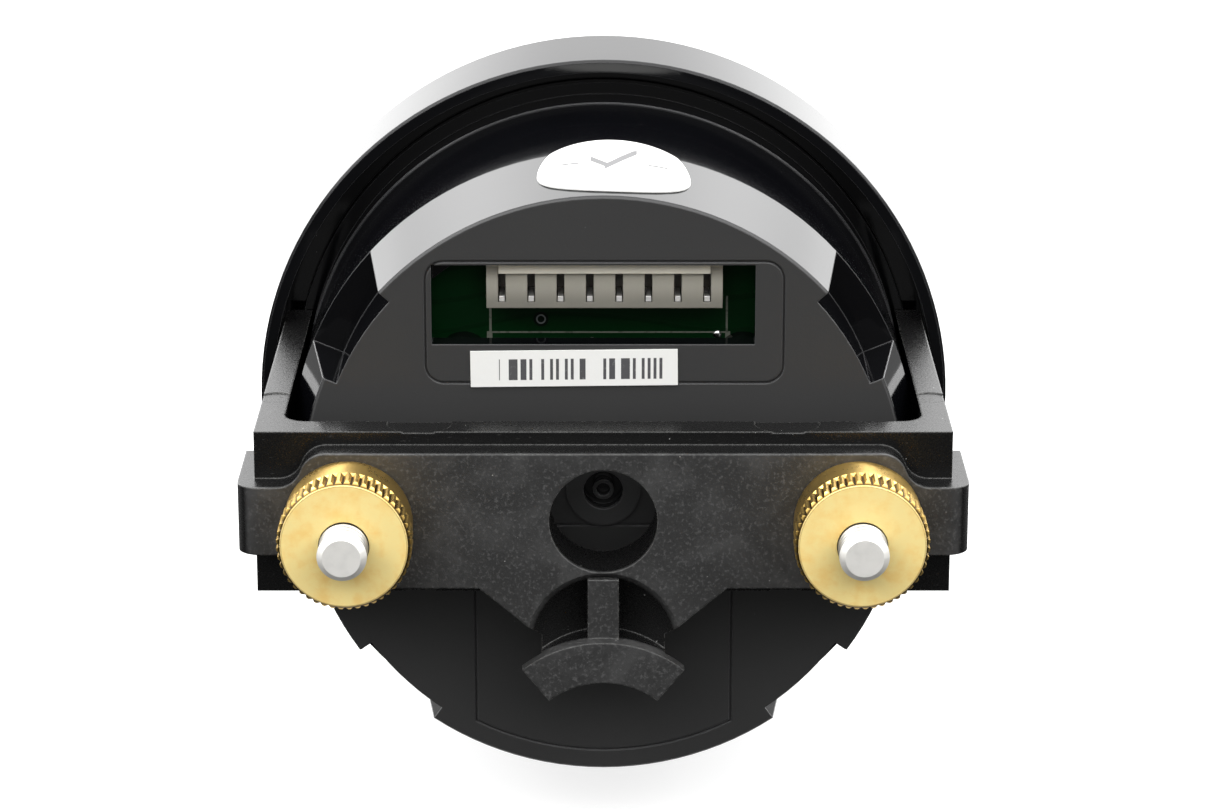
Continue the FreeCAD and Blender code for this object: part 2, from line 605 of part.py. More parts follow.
def make_thumb_nut(x):
    step = 360.0 / NUT_TEETH
    knurl_y = PLATE_REAR_Y - NUT_COLLAR
    points = []
    for index in range(NUT_TEETH):
        points.append(polar(NUT_R - NUT_TOOTH_DEPTH, step * index, NUT_REAR_Y))
        points.append(polar(NUT_R, step * (index + 0.35), NUT_REAR_Y))
        points.append(polar(NUT_R, step * (index + 0.65), NUT_REAR_Y))
    star = Part.Face(Part.makePolygon(points + [points[0]])).extrude(vec(0, knurl_y - NUT_REAR_Y, 0))
    inner = NUT_R - NUT_TOOTH_DEPTH - 0.05
    blank = turned([
        (0, NUT_REAR_Y), (NUT_R - NUT_CHAMFER, NUT_REAR_Y), (NUT_R, NUT_REAR_Y + NUT_CHAMFER),
        (NUT_R, knurl_y), (0, knurl_y),
    ])
    collar = turned([
        (0, knurl_y), (inner, knurl_y), (NUT_COLLAR_R - 0.25, knurl_y + 0.3),
        (NUT_COLLAR_R, knurl_y + 0.5),
        (NUT_COLLAR_R, PLATE_REAR_Y - 0.25), (NUT_COLLAR_R - 0.25, PLATE_REAR_Y), (0, PLATE_REAR_Y),
    ])
    nut = fused([star.common(blank), collar])
    nut = nut.cut(rod(STUD_R + NUT_GAP, NUT_REAR_Y - 1, PLATE_REAR_Y + 1))
    nut.translate(vec(x, 0, 0))
    return nut


def shoulder_arc_points(side, top):
    """Two equal tangent arcs from the ear's height to the plate's, as three-point arcs."""
    x0, x1 = SHOULDER_X[1], SHOULDER_X[0]
    z0, z1 = EAR_HALF_HEIGHT, PLATE_HALF_HEIGHT
    width, height = x0 - x1, z1 - z0
    radius = (width ** 2 + height ** 2) / (4 * height)
    half_turn = math.asin(min(1.0, width / (2 * radius))) / 2
    dx, dz = radius * math.sin(half_turn), radius * (1 - math.cos(half_turn))
    low = [(x0, z0), (x0 - dx, z0 + dz), ((x0 + x1) / 2, (z0 + z1) / 2)]
    high = [low[2], (x1 + dx, z1 - dz), (x1, z1)]
    return [[(side * x, top * z) for x, z in arc] for arc in (low, high)]


def plate_face():
    """Outline of the rear pad with its two ears, in the plane of its rear face."""
    ear_x = LEG_OUTER_X + EAR_OVERHANG

    def point(place):
        return vec(place[0], PLATE_REAR_Y, place[1])

    def arc(places):
        return Part.Arc(*[point(place) for place in places]).toShape()

    edges = []
    last = (ear_x, -EAR_HALF_HEIGHT)
    for side, top in ((1, 1), (-1, 1), (-1, -1), (1, -1)):
        low, high = shoulder_arc_points(side, top)
        ear = (side * ear_x, top * EAR_HALF_HEIGHT)
        if side == top:
            edges += [Part.makeLine(point(last), point(ear)), Part.makeLine(point(ear), point(low[0]))]
            edges += [arc(low), arc(high)]
            last = high[2]
        else:
            edges += [Part.makeLine(point(last), point(high[2])), arc(high[::-1]), arc(low[::-1])]
            edges.append(Part.makeLine(point(low[0]), point(ear)))
            last = ear
    return Part.Face(Part.Wire(edges))


def upright_edges_at(box, y):
    """Edges of a box that run along Z at the given y."""
    found = []
    for edge in box.Edges:
        first, last = edge.Vertexes[0], edge.Vertexes[-1]
        if abs(first.Z - last.Z) > 1 and abs(first.Y - y) < 1e-6:
            found.append(edge)
    return found


def make_bracket_plate():
    """Rear pad, whose rounded ears run forward beside the legs."""
    ear_x = LEG_OUTER_X + EAR_OVERHANG
    profile = plate_face().extrude(vec(0, EAR_LENGTH, 0))
    plan = block((-ear_x, ear_x), (PLATE_REAR_Y, PLATE_REAR_Y + EAR_LENGTH),
                 (-BRACKET_HALF_HEIGHT, BRACKET_HALF_HEIGHT))
    return profile.common(plan.makeFillet(EAR_ROUND, upright_edges_at(plan, PLATE_REAR_Y)))


def make_bracket_funnel():
    """Web below the plate that narrows to the neck of the hooked tab."""
    neck_x = NECK_R[1] * math.sin(math.radians(NECK_HALF_DEGREES))
    top = -PLATE_HALF_HEIGHT
    bottom = NECK_CENTRE_Z + NECK_R[0] + 0.8
    waist = ((FUNNEL_TOP_HALF + neck_x) / 2 - 0.45, (top + NECK_TOP_Z) / 2 - 0.35)

    def point(x, z):
        return vec(x, PLATE_REAR_Y, z)

    edges = [
        Part.makeLine(point(-FUNNEL_TOP_HALF, top + 1), point(FUNNEL_TOP_HALF, top + 1)),
        Part.makeLine(point(FUNNEL_TOP_HALF, top + 1), point(FUNNEL_TOP_HALF, top)),
        Part.Arc(point(FUNNEL_TOP_HALF, top), point(*waist), point(neck_x, NECK_TOP_Z)).toShape(),
        Part.makeLine(point(neck_x, NECK_TOP_Z), point(neck_x, bottom)),
        Part.makeLine(point(neck_x, bottom), point(-neck_x, bottom)),
        Part.makeLine(point(-neck_x, bottom), point(-neck_x, NECK_TOP_Z)),
        Part.Arc(point(-neck_x, NECK_TOP_Z), point(-waist[0], waist[1]),
                 point(-FUNNEL_TOP_HALF, top)).toShape(),
        Part.makeLine(point(-FUNNEL_TOP_HALF, top), point(-FUNNEL_TOP_HALF, top + 1)),
    ]
    return Part.Face(Part.Wire(edges)).extrude(vec(0, PLATE + WALL, 0))


def make_bracket_tab():
    """Rib, neck and wider arc-shaped head of the tab below the centre hole."""
    r_in, r_out = NECK_R
    ys = (PLATE_REAR_Y, WALL_REAR_Y + 0.5)
    rib = block((-RIB_WIDTH / 2, RIB_WIDTH / 2), ys, (NECK_TOP_Z - 1, RIB_TOP_Z))
    neck = sector(r_in, r_out, -NECK_HALF_DEGREES, NECK_HALF_DEGREES, *ys, NECK_CENTRE_Z)
    head_ys = (PLATE_REAR_Y - HEAD, PLATE_REAR_Y)
    head = sector(r_in, r_out, -HEAD_HALF_DEGREES, HEAD_HALF_DEGREES, *head_ys, NECK_CENTRE_Z)
    return [rib, neck, head]


def make_clamp_bracket():
    height = (-BRACKET_HALF_HEIGHT, BRACKET_HALF_HEIGHT)
    u_outer = block((-LEG_OUTER_X, LEG_OUTER_X), (WALL_REAR_Y, FOOT_Y), height)
    shape = fused([u_outer, make_bracket_plate(), make_bracket_funnel()])
    scoop_z = NECK_TOP_Z - SCOOP_BELOW_NECK
    scoop = Part.makeSphere(SCOOP_R, vec(0, WALL_REAR_Y - SCOOP_R, scoop_z))
    shape = shape.cut(scoop)
    opening = block((-LEG_INNER_X, LEG_INNER_X), (WALL_FRONT_Y, FOOT_Y + 1),
                    (height[0] - 1, height[1] + 1))
    shape = shape.cut(opening.makeFillet(INNER_ROUND, upright_edges_at(opening, WALL_FRONT_Y)))
    shape = shape.cut(rod(LEG_INNER_R, PLATE_REAR_Y + EAR_LENGTH, FOOT_Y + 1))
    feet_limit = rod(RIM_INNER_R - RIM_CLEARANCE, 0, FOOT_Y + 1)
    feet_zone = block((-2 * BODY_R, 2 * BODY_R), (0, FOOT_Y + 1), (-2 * BODY_R, 2 * BODY_R))
    shape = shape.cut(feet_zone.cut(feet_limit))
    shape = fused([shape] + make_bracket_tab())
    cuts = [rod(CENTRE_HOLE_R, PLATE_REAR_Y - 1, WALL_FRONT_Y + 1)]
    cuts += [rod(STUD_R + STUD_HOLE_GAP, PLATE_REAR_Y - 1, WALL_FRONT_Y + 1, x) for x in STUD_XS]
    for x, y, radius in EJECTOR_MARKS:
        for side in (-1, 1):
            for z in (height[1] - MARK_DEPTH, height[0] - 1.0):
                cuts.append(Part.makeCylinder(radius, 1.0 + MARK_DEPTH, vec(side * x, y, z)))
    return shape.cut(cuts)


def make_serial_label():
    label = block(LABEL_X, (BACK_Y - LABEL_THICKNESS, BACK_Y), LABEL_Z)
    label.rotate(vec(sum(LABEL_X) / 2, 0, sum(LABEL_Z) / 2), vec(0, 1, 0), LABEL_TILT)
    return label


def make_inspection_sticker():
    """Oval sticker over the top of the tapered end, flatter along its rear side."""
    y0 = BACK_Y + STICKER_FROM_REAR
    start, end = y0 - 0.5, y0 + STICKER_LENGTH + 0.5
    cone_end = BACK_Y + CONE_LENGTH
    start_r = BACK_R + REAR_INSET * (start - BACK_Y) / CONE_LENGTH

    def skin(extra):
        return turned([
            (0, start), (start_r + extra, start), (BODY_R + extra, cone_end), (BODY_R + extra, end),
            (0, end),
        ])

    widest = y0 + 0.33 * STICKER_LENGTH
    middle = vec(STICKER_X, widest, 0)
    rear = Part.Ellipse(middle, STICKER_HALF_WIDTH, 0.33 * STICKER_LENGTH)
    front_end = vec(STICKER_X, widest + 0.67 * STICKER_LENGTH, 0)
    front = Part.Ellipse(front_end, vec(STICKER_X - STICKER_HALF_WIDTH, widest, 0), middle)
    outline = Part.Wire([rear.toShape(math.pi, 2 * math.pi), front.toShape(-math.pi / 2, math.pi / 2)])
    prism = Part.Face(outline).extrude(vec(0, 0, 2 * BODY_R))
    return skin(LABEL_THICKNESS).cut(skin(0.0)).common(prism)


NODES = {
    "housing": make_housing,
    "bezel_ring": make_bezel,
    "lens": make_lens,
    "lens_gasket": make_gasket,
    "dial_spacer_ring": make_dial_spacer,
    "faceplate": make_faceplate,
    "light_guide": make_light_guide,
    "display_frame": make_display_frame,
    "indicator_leds": make_indicator_leds,
    "display_module": make_display_module,
    "display_pins": make_display_pins,
    "display_board": make_display_board,
    "display_driver": make_display_driver,
    "board_link_socket": make_board_link_socket,
    "board_link_plug": make_board_link_plug,
    "board_spacers": make_board_spacers,
    "board_screws": make_board_screws,
    "main_board": make_main_board,
    "header_body": make_header_body,
    "header_pins": make_header_pins,
    "microcontroller": make_microcontroller,
    "regulator": make_regulator,
    "capacitor": make_capacitor,
    "inductor": make_inductor,
    "surge_diode": make_surge_diode,
    "stud_inserts": make_stud_inserts,
    "mounting_studs": make_mounting_studs,
    "clamp_bracket": make_clamp_bracket,
    "thumb_nut_left": lambda: make_thumb_nut(-STUD_X),
    "thumb_nut_right": lambda: make_thumb_nut(STUD_X),
    "serial_label": make_serial_label,
    "inspection_sticker": make_inspection_sticker,
}

os.makedirs("parts", exist_ok=True)
for name, make in NODES.items():
    shape = make()
    print(f"{name}: {len(shape.Solids)} solid(s), {shape.Volume:.1f} mm3, valid {shape.isValid()}")
    shape.exportStep(f"parts/{name}.step")
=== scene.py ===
import math

import bmesh
import bpy
from bpy.props import FloatProperty, FloatVectorProperty, IntProperty, PointerProperty
from mathutils import Matrix, Vector


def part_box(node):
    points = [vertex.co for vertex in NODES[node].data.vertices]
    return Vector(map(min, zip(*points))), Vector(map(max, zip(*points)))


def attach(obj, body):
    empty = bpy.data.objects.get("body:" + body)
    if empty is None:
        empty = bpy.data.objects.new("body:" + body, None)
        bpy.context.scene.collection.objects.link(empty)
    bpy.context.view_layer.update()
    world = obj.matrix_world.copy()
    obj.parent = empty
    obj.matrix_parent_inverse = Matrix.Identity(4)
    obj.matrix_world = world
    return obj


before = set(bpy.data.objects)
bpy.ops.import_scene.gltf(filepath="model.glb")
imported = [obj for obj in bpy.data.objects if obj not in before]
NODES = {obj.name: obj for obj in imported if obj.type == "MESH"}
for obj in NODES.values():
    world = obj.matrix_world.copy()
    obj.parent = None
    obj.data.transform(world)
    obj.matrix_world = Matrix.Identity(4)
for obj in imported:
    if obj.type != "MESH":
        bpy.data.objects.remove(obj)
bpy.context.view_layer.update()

bl_info = {
    "name": "Round Panel Gauge",
    "version": (1, 0, 0),
    "blender": (4, 5, 0),
    "location": "3D View > Sidebar > Gauge",
    "description": "Finishes a round battery gauge and its clamp bracket, with the marks of its dial",
    "category": "Object",
}

MM = 0.001
PRINT_GAP = 0.01 * MM         # between a face and the printing in front of it
SOLDER_SINK = 0.01 * MM       # how far a joint's flat side lies inside the board
BOSS_HEIGHT = 0.5             # in millimetres, the centre boss behind the rear face
TAB_DEPTH = 1.1               # in millimetres, how much of the bracket's tab is finished apart
HOUSING_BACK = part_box("housing")[0].y / MM + BOSS_HEIGHT
TAB_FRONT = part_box("clamp_bracket")[0].y / MM + TAB_DEPTH
DIAL_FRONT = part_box("faceplate")[1].y + PRINT_GAP
BOARD_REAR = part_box("main_board")[0].y


# ---- Shader maths ---------------------------------------------------------------


class Reading:
    """A number or colour that varies over a surface. Arithmetic on it adds Math nodes."""

    def __init__(self, shading, socket):
        self.shading = shading
        self.socket = socket

    def math(self, operation, first, second=0.0):
        inputs = {0: first, 1: second}
        return self.shading.node("ShaderNodeMath", {"operation": operation}, inputs)

    def __add__(self, other):
        return self.math("ADD", self, other)

    def __radd__(self, other):
        return self.math("ADD", other, self)

    def __sub__(self, other):
        return self.math("SUBTRACT", self, other)

    def __rsub__(self, other):
        return self.math("SUBTRACT", other, self)

    def __mul__(self, other):
        return self.math("MULTIPLY", self, other)

    def __rmul__(self, other):
        return self.math("MULTIPLY", other, self)

    def __truediv__(self, other):
        return self.math("DIVIDE", self, other)

    def __mod__(self, other):
        return self.math("FLOORED_MODULO", self, other)

    def __lt__(self, other):
        return self.math("LESS_THAN", self, other)

    def __gt__(self, other):
        return self.math("GREATER_THAN", self, other)

    def __abs__(self):
        return self.math("ABSOLUTE", self)

    def either(self, other):
        return self.math("MAXIMUM", self, other)

    def root(self):
        return self.math("SQRT", self)

    def rounded_down(self):
        return self.math("FLOOR", self)


class Shading:
    """A node tree that is built from expressions."""

    def __init__(self, tree):
        self.tree = tree
        self.tree.nodes.clear()

    def node(self, kind, settings=None, inputs=None, output=0):
        """Adds a node: its settings first, then the values or links of its sockets."""
        made = self.tree.nodes.new(kind)
        for name, value in (settings or {}).items():
            setattr(made, name, value)
        for key, value in (inputs or {}).items():
            self.fill(made.inputs[key], value)
        return Reading(self, made.outputs[output]) if made.outputs else None

    def fill(self, socket, value):
        if isinstance(value, Reading):
            self.tree.links.new(value.socket, socket)
        else:
            socket.default_value = value

    def parts(self, vector):
        """X, Y and Z of a vector."""
        split = self.tree.nodes.new("ShaderNodeSeparateXYZ")
        self.tree.links.new(vector.socket, split.inputs[0])
        return [Reading(self, split.outputs[axis]) for axis in range(3)]

    def fade(self, value, low, high, start=0.0, end=1.0):
        """Smooth change from start to end while the value goes from low to high."""
        inputs = {"Value": value, "From Min": low, "From Max": high, "To Min": start, "To Max": end}
        return self.node("ShaderNodeMapRange", {"interpolation_type": "SMOOTHSTEP"}, inputs)


class Finish(Shading):
    """One material, with a Principled shader whose sockets are set by shade()."""

    def __init__(self, name):
        self.material = bpy.data.materials.new(name)
        self.material.use_nodes = True
        super().__init__(self.material.node_tree)
        self.shader = self.tree.nodes.new("ShaderNodeBsdfPrincipled")
        self.node("ShaderNodeOutputMaterial", {}, {"Surface": Reading(self, self.shader.outputs[0])})
        self.place = self.node("ShaderNodeTexCoord", output="Object")

    def shade(self, **values):
        """Sets the shader's sockets, named with underscores for spaces."""
        for name, value in values.items():
            self.fill(self.shader.inputs[name.replace("_", " ")], value)
        return self.material

    def millimetres(self):
        """X, Y and Z of the surface, in millimetres."""
        return [part * 1000.0 for part in self.parts(self.place)]

    def moved(self, location=(0, 0, 0), scale=(1, 1, 1)):
        inputs = {"Vector": self.place, "Location": location, "Scale": scale}
        return self.node("ShaderNodeMapping", {"vector_type": "POINT"}, inputs)

    def noise(self, size_mm, detail=3.0, roughness=0.5, where=None, distortion=0.0):
        """Soft noise whose lumps are about size_mm across."""
        inputs = {
            "Vector": where or self.place, "Scale": 1000.0 / size_mm, "Detail": detail,
            "Roughness": roughness, "Distortion": distortion,
        }
        return self.node("ShaderNodeTexNoise", {}, inputs)

    def specks(self, spacing_mm, radius, share):
        """Small round specks on a share of the cells of a scattered pattern."""
        inputs = {"Vector": self.place, "Scale": 1000.0 / spacing_mm, "Randomness": 1.0}
        settings = {"feature": "F1", "voronoi_dimensions": "3D"}
        distance = self.node("ShaderNodeTexVoronoi", settings, inputs, "Distance")
        chance = self.node("ShaderNodeTexVoronoi", settings, inputs, "Color")
        red = self.node("ShaderNodeSeparateColor", {}, {0: chance})
        return (distance < radius) * (red < share)

    def between(self, value, low, high, soft=0.02):
        """1 inside a band of values and 0 outside it."""
        rise = self.fade(value, low - soft, low + soft)
        return rise * self.fade(value, high - soft, high + soft, 1.0, 0.0)

    def blend(self, mask, first, second):
        """Colour that goes from the first to the second where the mask goes from 0 to 1."""
        settings = {"data_type": "RGBA", "clamp_factor": True}
        colours = [c if isinstance(c, Reading) else (*c, 1.0) for c in (first, second)]
        inputs = {0: mask, 6: colours[0], 7: colours[1]}
        return self.node("ShaderNodeMix", settings, inputs, 2)

    def rounded_edges(self, radius_mm, samples=4):
        return self.node("ShaderNodeBevel", {"samples": samples}, {"Radius": radius_mm * MM})

    # Edge mask for paler edges: used for painted edge highlights, together with real wear.
    def edge_highlight_and_wear(self, radius_mm):
        """1 along the edges of the piece and 0 on its flat parts."""
        flat = self.node("ShaderNodeNewGeometry", output="Normal")
        settings = {"operation": "DOT_PRODUCT"}
        inputs = {0: self.rounded_edges(radius_mm), 1: flat}
        alike = self.node("ShaderNodeVectorMath", settings, inputs, "Value")
        return self.fade(1.0 - alike, 0.02, 0.16)

    def bump(self, height, depth_mm, strength=1.0, normal=None):
        inputs = {"Height": height, "Distance": depth_mm * MM, "Strength": strength}
        if normal:
            inputs["Normal"] = normal
        return self.node("ShaderNodeBump", {}, inputs)


def middle_of(name):
    """Middle of a CAD node's box, in millimetres."""
    low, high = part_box(name)
    return (low + high) / 2 / MM


def dress(names, material):
    """Gives CAD nodes a material in each of their slots."""
    for name in names:
        slots = NODES[name].data.materials
        for index in range(len(slots)):
            slots[index] = material
        if not len(slots):
            slots.append(material)


# ---- Settings ---------------------------------------------------------------------


def colour(name, description, default):
    return FloatVectorProperty(
        name=name, description=description, default=default,
        size=3, min=0.0, max=1.0, subtype="COLOR",
    )


def length(name, description, millimetres):
    return FloatProperty(
        name=name, description=description, default=millimetres * MM,
        min=0.0, unit="LENGTH", precision=5,
    )


def share(name, description, default):
    return FloatProperty(
        name=name, description=description, default=default, min=0.0, max=1.0, subtype="FACTOR",
    )


class GaugeFinishSettings(bpy.types.PropertyGroup):
    """Colours and surface qualities of the gauge's pieces."""

    body_colour: colour("Body", "Colour of the moulded gloss body", (0.0012, 0.0013, 0.0018))
    back_colour: colour("Back", "Colour of the satin rear face", (0.033, 0.033, 0.033))
    body_roughness: share("Body roughness", "Roughness of the gloss body", 0.06)
    back_roughness: share("Back roughness", "Roughness of the satin rear face", 0.4)
    # The rest of the bracket takes this colour darkened, as painted shade.
    bracket_colour: colour("Bracket", "Colour of the bracket's tab, and darkened of the rest", (0.03, 0.03, 0.03))
    bracket_roughness: share("Bracket roughness", "Roughness of the bracket apart from its tab", 0.26)
    bracket_grain: length("Bracket grain", "Size of the bracket's grain", 0.16)
    brass_colour: colour("Brass", "Colour of the turned brass", (1.0, 0.87, 0.46))
    steel_colour: colour("Zinc", "Colour of the zinc-plated steel", (0.9, 0.89, 0.86))
    tin_colour: colour("Tin", "Colour of the tinned pins", (0.93, 0.92, 0.9))
    board_colour: colour("Board", "Colour of the solder mask", (0.0012, 0.017, 0.004))
    ink_colour: colour("Board ink", "Colour of the printed lines on the board", (0.16, 0.17, 0.14))
    header_colour: colour("Header", "Colour of the header's nylon", (0.95, 0.91, 0.78))
    label_colour: colour("Label", "Colour of the label's paper", (0.77, 0.77, 0.75))
    print_colour: colour("Print", "Colour of the printing on the labels", (0.03, 0.03, 0.035))
    dial_colour: colour("Dial", "Colour of the dial", (0.012, 0.012, 0.013))
    guide_colour: colour("Light guide", "Colour of the milky light guide", (0.62, 0.64, 0.63))


class GaugeMarkSettings(bpy.types.PropertyGroup):
    """Sizes of the marks on the dial and of the solder on the board."""

    number_size: length("Number size", "Height of the dial's numbers", 2.1)
    number_radius: length("Number radius", "Radius that the dial's numbers stand on", 17.0)
    number_first: IntProperty(name="First number", description="Number at the left end", default=8)
    number_last: IntProperty(name="Last number", description="Number at the right end", default=18)
    sweep: FloatProperty(
        name="Sweep", description="Angle between the first and the last number",
        default=math.radians(258.75), subtype="ANGLE",
    )
    tick_radius: length("Tick radius", "Inner radius of the ticks", 22.2)
    tick_length: length("Tick length", "Length of a long tick", 1.3)
    print_height: length("Print height", "Thickness of the dial's printing", 0.02)
    digit_height: length("Digit height", "Height of the display's digits", 8.6)
    digit_width: length("Digit width", "Width of the display's digits", 4.6)
    segment_width: length("Segment width", "Width of a digit's segments", 0.95)
    solder_radius: length("Solder radius", "Radius of a solder joint on the board", 0.42)


class GaugeStageSettings(bpy.types.PropertyGroup):
    """Floor, lights and camera."""

    floor_height: FloatProperty(
        name="Floor height", description="Height of the floor under the gauge's axis",
        default=-30.05 * MM, unit="LENGTH",
    )
    camera_place: FloatVectorProperty(
        name="Camera", description="Where the camera stands",
        default=(0.0003, -0.3281, 0.1001), unit="LENGTH", subtype="TRANSLATION",
    )
    camera_pitch: FloatProperty(
        name="Pitch", description="How far the camera looks down",
        default=math.radians(17.09), subtype="ANGLE",
    )
    camera_lens: FloatProperty(
        name="Lens", description="Focal length, in millimetres", default=116.04, min=1.0,
    )


# ---- Finishes of the CAD pieces -----------------------------------------------------------

# Printed strokes that stand on the header's base line: left, right, foot and top, in millimetres
BOARD_STROKES = (
    (-9.3, -9.1, 11.9, 15.0), (9.98, 10.15, 11.9, 15.0),
    (-9.5, -9.05, 11.2, 12.0), (9.95, 10.35, 11.3, 12.0),
)
VIA_PLACE = (-5.08, 13.03)
SOLDER_PLACES = ((-0.92, 11.1, 1.0), (9.3, 11.75, 0.9), (-11.5, 11.1, 1.2))   # x, z, scale


def gloss_body_finish(settings):
    """Gloss moulded plastic, satin on the flat rear face, with edges painted paler as painted highlight and some
    wear.
    """
    finish = Finish("gloss_black")
    y = finish.millimetres()[1]
    back = finish.fade(y, HOUSING_BACK + 0.06, HOUSING_BACK + 0.2, 1.0, 0.0)
    haze = finish.noise(9.0, 2.0, 0.4)
    fine = finish.noise(0.22, 2.0, 0.6)
    dust = finish.specks(1.5, 0.03, 0.35)
    base = finish.blend(back, tuple(settings.body_colour), tuple(settings.back_colour))
    base = finish.blend(haze * 0.1, base, (0.01, 0.01, 0.012))
    # Paler edges: painted edge highlight, together with some real wear.
    base = finish.blend(finish.edge_highlight_and_wear(0.12) * (0.35 + 0.4 * haze), base, (0.14, 0.14, 0.145))
    base = finish.blend(dust * 0.6, base, (0.12, 0.12, 0.12))
    gloss = settings.body_roughness + haze * 0.03
    satin = settings.back_roughness + fine * 0.12
    rough = gloss + back * (satin - gloss)
    edges = finish.rounded_edges(0.16)
    ripple = finish.noise(5.0, 1.0, 0.3)
    normal = finish.bump(ripple, 0.012, 0.35, edges)
    normal = finish.bump(fine * back, 0.012, 0.5, normal)
    return finish.shade(Base_Color=base, Roughness=rough, Normal=normal, IOR=1.45)


def bracket_finish(settings):
    """Glass-filled nylon: dark and mottled with stray fibres, and rougher on its tab; the rest of the bracket is
    painted far darker than the tab, as painted shade.
    """
    finish = Finish("glass_filled_black")
    y = finish.millimetres()[1]
    tab = finish.fade(y, TAB_FRONT + 0.15, TAB_FRONT + 0.5, 1.0, 0.0)
    grain = finish.noise(settings.bracket_grain / MM, 3.0, 0.65)
    coarse = finish.noise(0.32, 4.0, 0.7)
    flow = finish.noise(5.0, 5.0, 0.65, distortion=0.6)
    fibre = finish.noise(0.5, 2.0, 0.5, finish.moved(scale=(1.0, 4.0, 4.0)))
    specks = finish.specks(1.0, 0.05, 0.3)
    colour = tuple(settings.bracket_colour)
    # Much darker copy of the colour for the bracket apart from its tab: painted shade.
    dark = tuple(0.12 * part for part in colour)
    pale = tuple(2.3 * part + 0.004 for part in colour)
    base = finish.blend(tab * (0.55 + 0.45 * coarse), dark, colour)
    base = finish.blend(finish.fade(flow, 0.42, 0.72) * tab * 0.45, base, pale)
    base = finish.blend(finish.fade(coarse, 0.52, 0.66) * tab * 0.75, base, pale)
    base = finish.blend(finish.fade(fibre, 0.66, 0.8) * 0.4, base, (0.07, 0.07, 0.068))
    # Paler edges and pale grain along them: painted edge highlights with some wear; the scattered specks are
    # dust.
    edge = finish.edge_highlight_and_wear(0.14)
    base = finish.blend(edge * finish.fade(coarse, 0.35, 0.6), base, (0.11, 0.11, 0.105))
    base = finish.blend(specks.either(edge * (grain > 0.68)) * 0.8, base, (0.34, 0.34, 0.33))
    rough = settings.bracket_roughness + 0.22 * tab + 0.2 * (coarse - 0.5) + 0.1 * (grain - 0.5)
    normal = finish.bump(coarse, 0.035, 0.4, finish.rounded_edges(0.2, 6))
    normal = finish.bump(grain, 0.02, 0.5, normal)
    return finish.shade(Base_Color=base, Roughness=rough, Normal=normal, IOR=1.45)


def brass_nut_finish(name, centre_x, settings):
    """Turned brass: a dull, faintly brushed face, brighter sides and tarnish in the knurl."""
    finish = Finish(name)
    x, y, z = finish.millimetres()
    face_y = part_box("thumb_nut_left")[0].y / MM
    across = x - centre_x
    radius = (across * across + z * z).root()
    face = finish.fade(y, face_y + 0.02, face_y + 0.1, 1.0, 0.0)
    rings = finish.node("ShaderNodeTexNoise", {"noise_dimensions": "1D"}, {
        "W": radius, "Scale": 9.0, "Detail": 3.0, "Roughness": 0.7})
    cloud = finish.noise(1.6, 3.0, 0.55)
    scratch = finish.noise(0.35, 2.0, 0.6, finish.moved(scale=(1.0, 1.0, 5.0)))
    brass = tuple(settings.brass_colour)
    golden = (brass[0] * 0.9, brass[1] * 0.7, brass[2] * 0.38)
    base = finish.blend(face, golden, brass)
    base = finish.blend(finish.fade(cloud, 0.4, 0.75) * 0.4, base, golden)
    groove = finish.fade(radius, 5.06, 5.26, 1.0, 0.0) * (y < face_y + 2.3) * (1.0 - face)
    base = finish.blend(groove, base, (0.1, 0.06, 0.02))
    line = finish.between(radius, 4.88, 4.96, 0.03) * face
    base = finish.blend(line * 0.45, base, (0.5, 0.33, 0.1))
    rough = 0.3 + face * 0.5 + 0.12 * (scratch - 0.5) + 0.14 * (cloud - 0.5)
    normal = finish.bump(rings * face, 0.012, 0.25, finish.rounded_edges(0.08))
    normal = finish.bump(scratch, 0.008, 0.35, normal)
    return finish.shade(Base_Color=base, Roughness=rough, Metallic=1.0, Normal=normal)


def stud_finish(settings):
    """Zinc-plated thread, darker between its crests, where grease and painted shade darken it together."""
    finish = Finish("zinc_steel")
    x, y, z = finish.millimetres()
    low, high = (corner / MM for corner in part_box("mounting_studs"))
    across = abs(x) - (high.x - low.x - 2 * high.z) / 2
    radius = (across * across + z * z).root()
    tip = finish.fade(y, low.y + 0.5, low.y + 0.7, 1.0, 0.0)
    valley = finish.fade(radius, high.z - 0.24, high.z - 0.04, 1.0, 0.0) * (1.0 - tip)
    streak = finish.noise(0.4, 3.0, 0.6)
    cloud = finish.noise(1.2, 3.0, 0.5)
    zinc = tuple(settings.steel_colour)
    base = finish.blend(finish.fade(cloud, 0.4, 0.8) * 0.4, zinc, tuple(0.8 * part for part in zinc))
    base = finish.blend((1.0 - tip) * 0.6, base, (0.3, 0.3, 0.29))
    # Near black between the crests: grease together with painted shade in the thread's grooves.
    base = finish.blend(valley, base, (0.06, 0.058, 0.054))
    rough = 0.72 + 0.14 * (streak - 0.5) - 0.25 * (1.0 - tip)
    normal = finish.bump(streak, 0.01, 0.35, finish.rounded_edges(0.05))
    return finish.shade(Base_Color=base, Roughness=rough, Metallic=1.0, Normal=normal)


def metal_finish(name, base_colour, roughness, lump_mm=0.5):
    """Plated or drawn metal with faint streaks and stains."""
    finish = Finish(name)
    streak = finish.noise(lump_mm, 3.0, 0.6, finish.moved(scale=(1.0, 0.25, 1.0)))
    cloud = finish.noise(2.5, 3.0, 0.5)
    dark = tuple(0.86 * part for part in base_colour)
    base = finish.blend(finish.fade(cloud, 0.4, 0.8) * 0.5, tuple(base_colour), dark)
    rough = roughness + 0.14 * (streak - 0.5) + 0.1 * (cloud - 0.5)
    normal = finish.bump(streak, 0.006, 0.3, finish.rounded_edges(0.06))
    return finish.shade(Base_Color=base, Roughness=rough, Metallic=1.0, Normal=normal)


